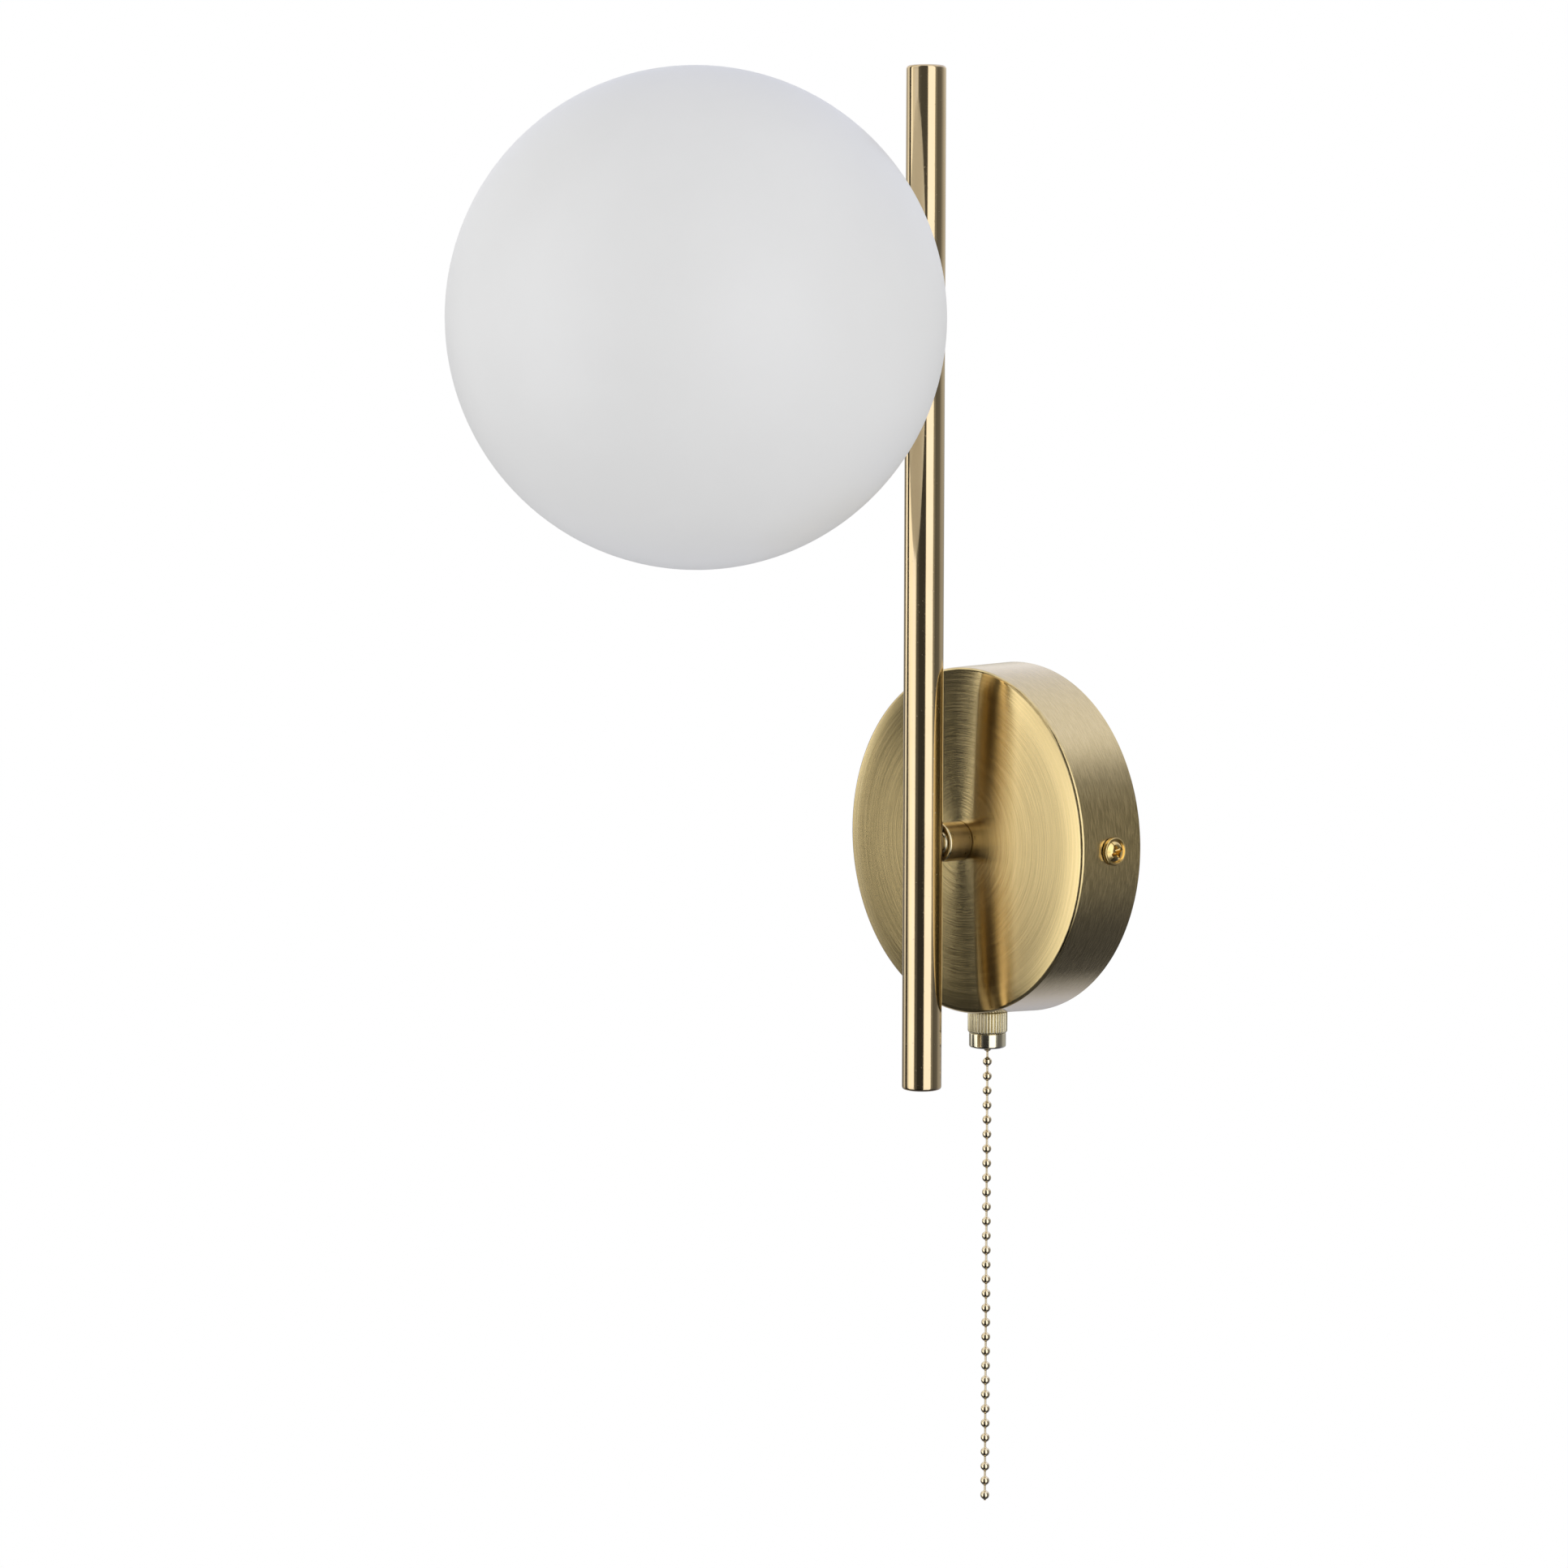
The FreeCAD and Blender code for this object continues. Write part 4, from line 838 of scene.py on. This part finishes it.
def even(level):
    """One brightness for most heights, dimmer near the floor and a little near the top."""
    return tuple(level * share for share in EVEN)


# Azimuths between which the light in front and on the right is paler, and by how much
PALE_FRONT, PALE_RIGHT, PALE = (-18.0, 0.0), (62.0, 98.0), 0.35


def coolness(azimuth, height):
    """The light in front and right, and from high and low behind the object, is a little bluer."""
    if any(low < azimuth < high for low, high in (PALE_FRONT, PALE_RIGHT)):
        return PALE
    behind = min(1.0, max(0.0, (90.0 - abs(azimuth - 195.0)) / 40.0))
    return behind * min(1.0, max(0.0, (abs(height) - 10.0) / 20.0))


FRONT_LEFT = (0.02, 0.03, 0.03, 0.03, 0.78, 1.40, 0.95, 0.85, 1.10, 1.20, 1.00, 0.85)
FRONT = (0.05, 0.08, 0.18, 1.10, 1.50, 1.38, 0.85, 0.72, 0.85, 0.95, 0.90, 0.80)
SHADOW = (0.001, 0.002, 0.004, 0.025, 0.035, 0.055, 0.085, 0.09, 0.09, 0.08, 0.07, 0.06)
RIGHT_CARD = (0.05, 0.20, 0.70, 1.30, 1.45, 1.45, 1.45, 1.45, 1.45, 1.35, 1.20, 1.05)
CORNER = (0.03, 0.03, 0.03, 0.03, 0.80, 1.50, 1.50, 1.50, 1.50, 1.40, 1.25, 1.10)
SURROUND = [
    (-80.0, FRONT_LEFT), (-62.5, FRONT_LEFT), (-61.5, DIM), (-46.0, DIM), (-45.4, CORNER),
    (-39.0, CORNER), (-31.0, FRONT), (1.0, FRONT),
    (5.0, even(0.13)), (19.0, even(0.10)), (20.0, SHADOW), (57.0, SHADOW),
    (60.0, RIGHT_CARD), (100.0, RIGHT_CARD), (102.0, even(0.30)), (112.0, even(0.25)),
    (115.0, (0.04, 0.05, 0.07, 0.10, 0.12, 0.12, 0.13, 0.15, 0.27, 0.60, 0.95, 0.90)),
    (145.0, (0.04, 0.05, 0.07, 0.12, 0.15, 0.15, 0.16, 0.17, 0.27, 0.60, 0.95, 0.90)),
    (162.0, (0.05, 0.05, 0.12, 0.25, 0.38, 0.38, 0.38, 0.42, 0.55, 0.78, 0.92, 0.90)),
    (185.0, (0.05, 0.06, 0.28, 0.42, 0.40, 0.42, 0.60, 0.90, 0.85, 0.85, 0.88, 0.88)),
    (200.0, (0.06, 0.36, 0.52, 0.50, 0.33, 0.36, 0.65, 1.05, 0.90, 0.82, 0.85, 0.88)),
    (214.0, (0.10, 0.48, 0.65, 0.58, 0.33, 0.36, 0.70, 1.10, 0.85, 0.80, 0.82, 0.85)),
    (255.0, (0.10, 0.48, 0.65, 0.50, 0.33, 0.36, 0.70, 1.10, 0.85, 0.80, 0.82, 0.85)),
    (267.0, (0.10, 0.40, 0.50, 0.30, 0.16, 0.15, 0.40, 0.80, 0.80, 0.80, 0.82, 0.85)),
    (279.0, (0.10, 0.40, 0.50, 0.30, 0.16, 0.15, 0.40, 0.80, 0.80, 0.80, 0.82, 0.85)),
    (280.0, FRONT_LEFT),
]


def make_surround():
    """Ring of cards round the object, with brightness between the lines above evened out."""
    points, levels, cools = [], [], []
    columns = []
    for (start, low), (end, high) in zip(SURROUND, SURROUND[1:]):
        steps = max(1, round((end - start) / 4))
        for i in range(steps):
            share = i / steps
            column = [a + (b - a) * share for a, b in zip(low, high)]
            columns.append((start + (end - start) * share, column))
    columns.append(SURROUND[-1])
    for azimuth, column in columns:
        turn = math.radians(azimuth)
        x, y = STUDIO_R * math.sin(turn), -STUDIO_R * math.cos(turn)
        for height, level in zip(HEIGHTS, column):
            points.append((x, y, STUDIO_R * math.tan(math.radians(height))))
            levels.append(level)
            cools.append(coolness(azimuth, height))
    rows = len(HEIGHTS)
    faces = [
        (i * rows + j, (i + 1) * rows + j, (i + 1) * rows + j + 1, i * rows + j + 1)
        for i in range(len(columns) - 1) for j in range(rows - 1)
    ]
    card("card_surround", points, faces, levels, cools)


def make_round_card(name, height, level, cool):
    """Flat round card of one brightness over or under the object."""
    z = STUDIO_R * math.tan(math.radians(height))
    count = 48
    points = [
        (STUDIO_R * math.cos(t), STUDIO_R * math.sin(t), z)
        for t in (2 * math.pi * i / count for i in range(count))
    ]
    return card(name, points, [tuple(range(count))], [level] * count, [cool] * count)


make_surround()
make_round_card("card_under", HEIGHTS[0], 0.06, 0.5)
make_round_card("card_over", HEIGHTS[-1], 0.85, 0.5)

# Shade above that only matt surfaces see, so the globe's top isn't lighter than its sides
shade = make_round_card("card_shade", 45.0, 0.62, 0.0)
shade.visible_diffuse, shade.visible_glossy = True, False


def area_light(name, place, target, size, power):
    lamp = bpy.data.lights.new(name, "AREA")
    lamp.shape = "DISK"
    lamp.size = size
    lamp.energy = power
    made = bpy.data.objects.new(name, lamp)
    made.location = place
    made.rotation_euler = (Vector(target) - Vector(place)).to_track_quat("-Z", "Y").to_euler()
    made.visible_glossy = False
    bpy.context.scene.collection.objects.link(made)


LAMP_TARGET = (0, -0.08, 0.1)
area_light("lamp_left", (-1.3, -1.4, 0.4), LAMP_TARGET, 1.4, 6.5)
area_light("lamp_right", (1.6, -0.4, 0.2), LAMP_TARGET, 1.4, 4.0)


def world_light(ambient):
    """White where it is seen, and dimmer as the light that falls on matt surfaces."""
    world = bpy.data.worlds.new("studio_world")
    bpy.context.scene.world = world
    world.use_nodes = True
    nodes, links = world.node_tree.nodes, world.node_tree.links
    nodes.clear()
    path = nodes.new("ShaderNodeLightPath")
    seen = nodes.new("ShaderNodeMath")
    seen.operation = "MAXIMUM"
    links.new(path.outputs["Is Camera Ray"], seen.inputs[0])
    links.new(path.outputs["Is Transmission Ray"], seen.inputs[1])
    shown = nodes.new("ShaderNodeMath")
    shown.operation = "MAXIMUM"
    links.new(seen.outputs[0], shown.inputs[0])
    links.new(path.outputs["Is Glossy Ray"], shown.inputs[1])
    level = nodes.new("ShaderNodeMix")
    level.data_type = "FLOAT"
    level.inputs[2].default_value = ambient
    level.inputs[3].default_value = 1.0
    links.new(shown.outputs[0], level.inputs[0])
    back = nodes.new("ShaderNodeBackground")
    back.inputs["Color"].default_value = (1.0, 1.0, 1.0, 1.0)
    links.new(level.outputs[0], back.inputs["Strength"])
    out = nodes.new("ShaderNodeOutputWorld")
    links.new(back.outputs[0], out.inputs[0])


world_light(0.84)


def make_floor():
    tree = Tree("floor_pale")
    path = tree.node("ShaderNodeLightPath")
    shown = tree.math("MAXIMUM", path.outputs["Is Camera Ray"], path.outputs["Is Glossy Ray"])
    shown = tree.math("MAXIMUM", shown, path.outputs["Is Transmission Ray"])
    pale = tree.node("ShaderNodeBsdfDiffuse", {"Color": (0.9, 0.9, 0.9, 1.0)})
    white = tree.node("ShaderNodeEmission", {"Color": (1.0, 1.0, 1.0, 1.0), "Strength": 1.01})
    both = tree.node("ShaderNodeMixShader", {0: tree.math("MULTIPLY", shown, 0.96)})
    tree.links.new(pale.outputs[0], both.inputs[1])
    tree.links.new(white.outputs[0], both.inputs[2])
    tree.links.new(both.outputs[0], tree.out.inputs[0])
    reach = 40.0
    corners = [(x * reach, y * reach, FLOOR_Z) for x, y in ((-1, -1), (1, -1), (1, 1), (-1, 1))]
    stage_mesh("studio_floor", corners, [(0, 1, 2, 3)], tree.material)


make_floor()


def make_camera():
    right = CAMERA_RIGHT.normalized()
    forward = CAMERA_FORWARD.normalized()
    up = right.cross(forward).normalized()
    right = forward.cross(up)
    data = bpy.data.cameras.new("camera")
    data.lens = CAMERA_LENS
    data.sensor_width = 36.0
    data.sensor_fit = "HORIZONTAL"
    data.clip_start = 0.05
    data.clip_end = 60.0
    made = bpy.data.objects.new("camera", data)
    turn = Matrix((right, up, -forward)).transposed()
    made.matrix_world = Matrix.Translation(CAMERA_PLACE) @ turn.to_4x4()
    bpy.context.scene.collection.objects.link(made)
    bpy.context.scene.camera = made


make_camera()
bpy.context.scene.view_settings.view_transform = "Standard"
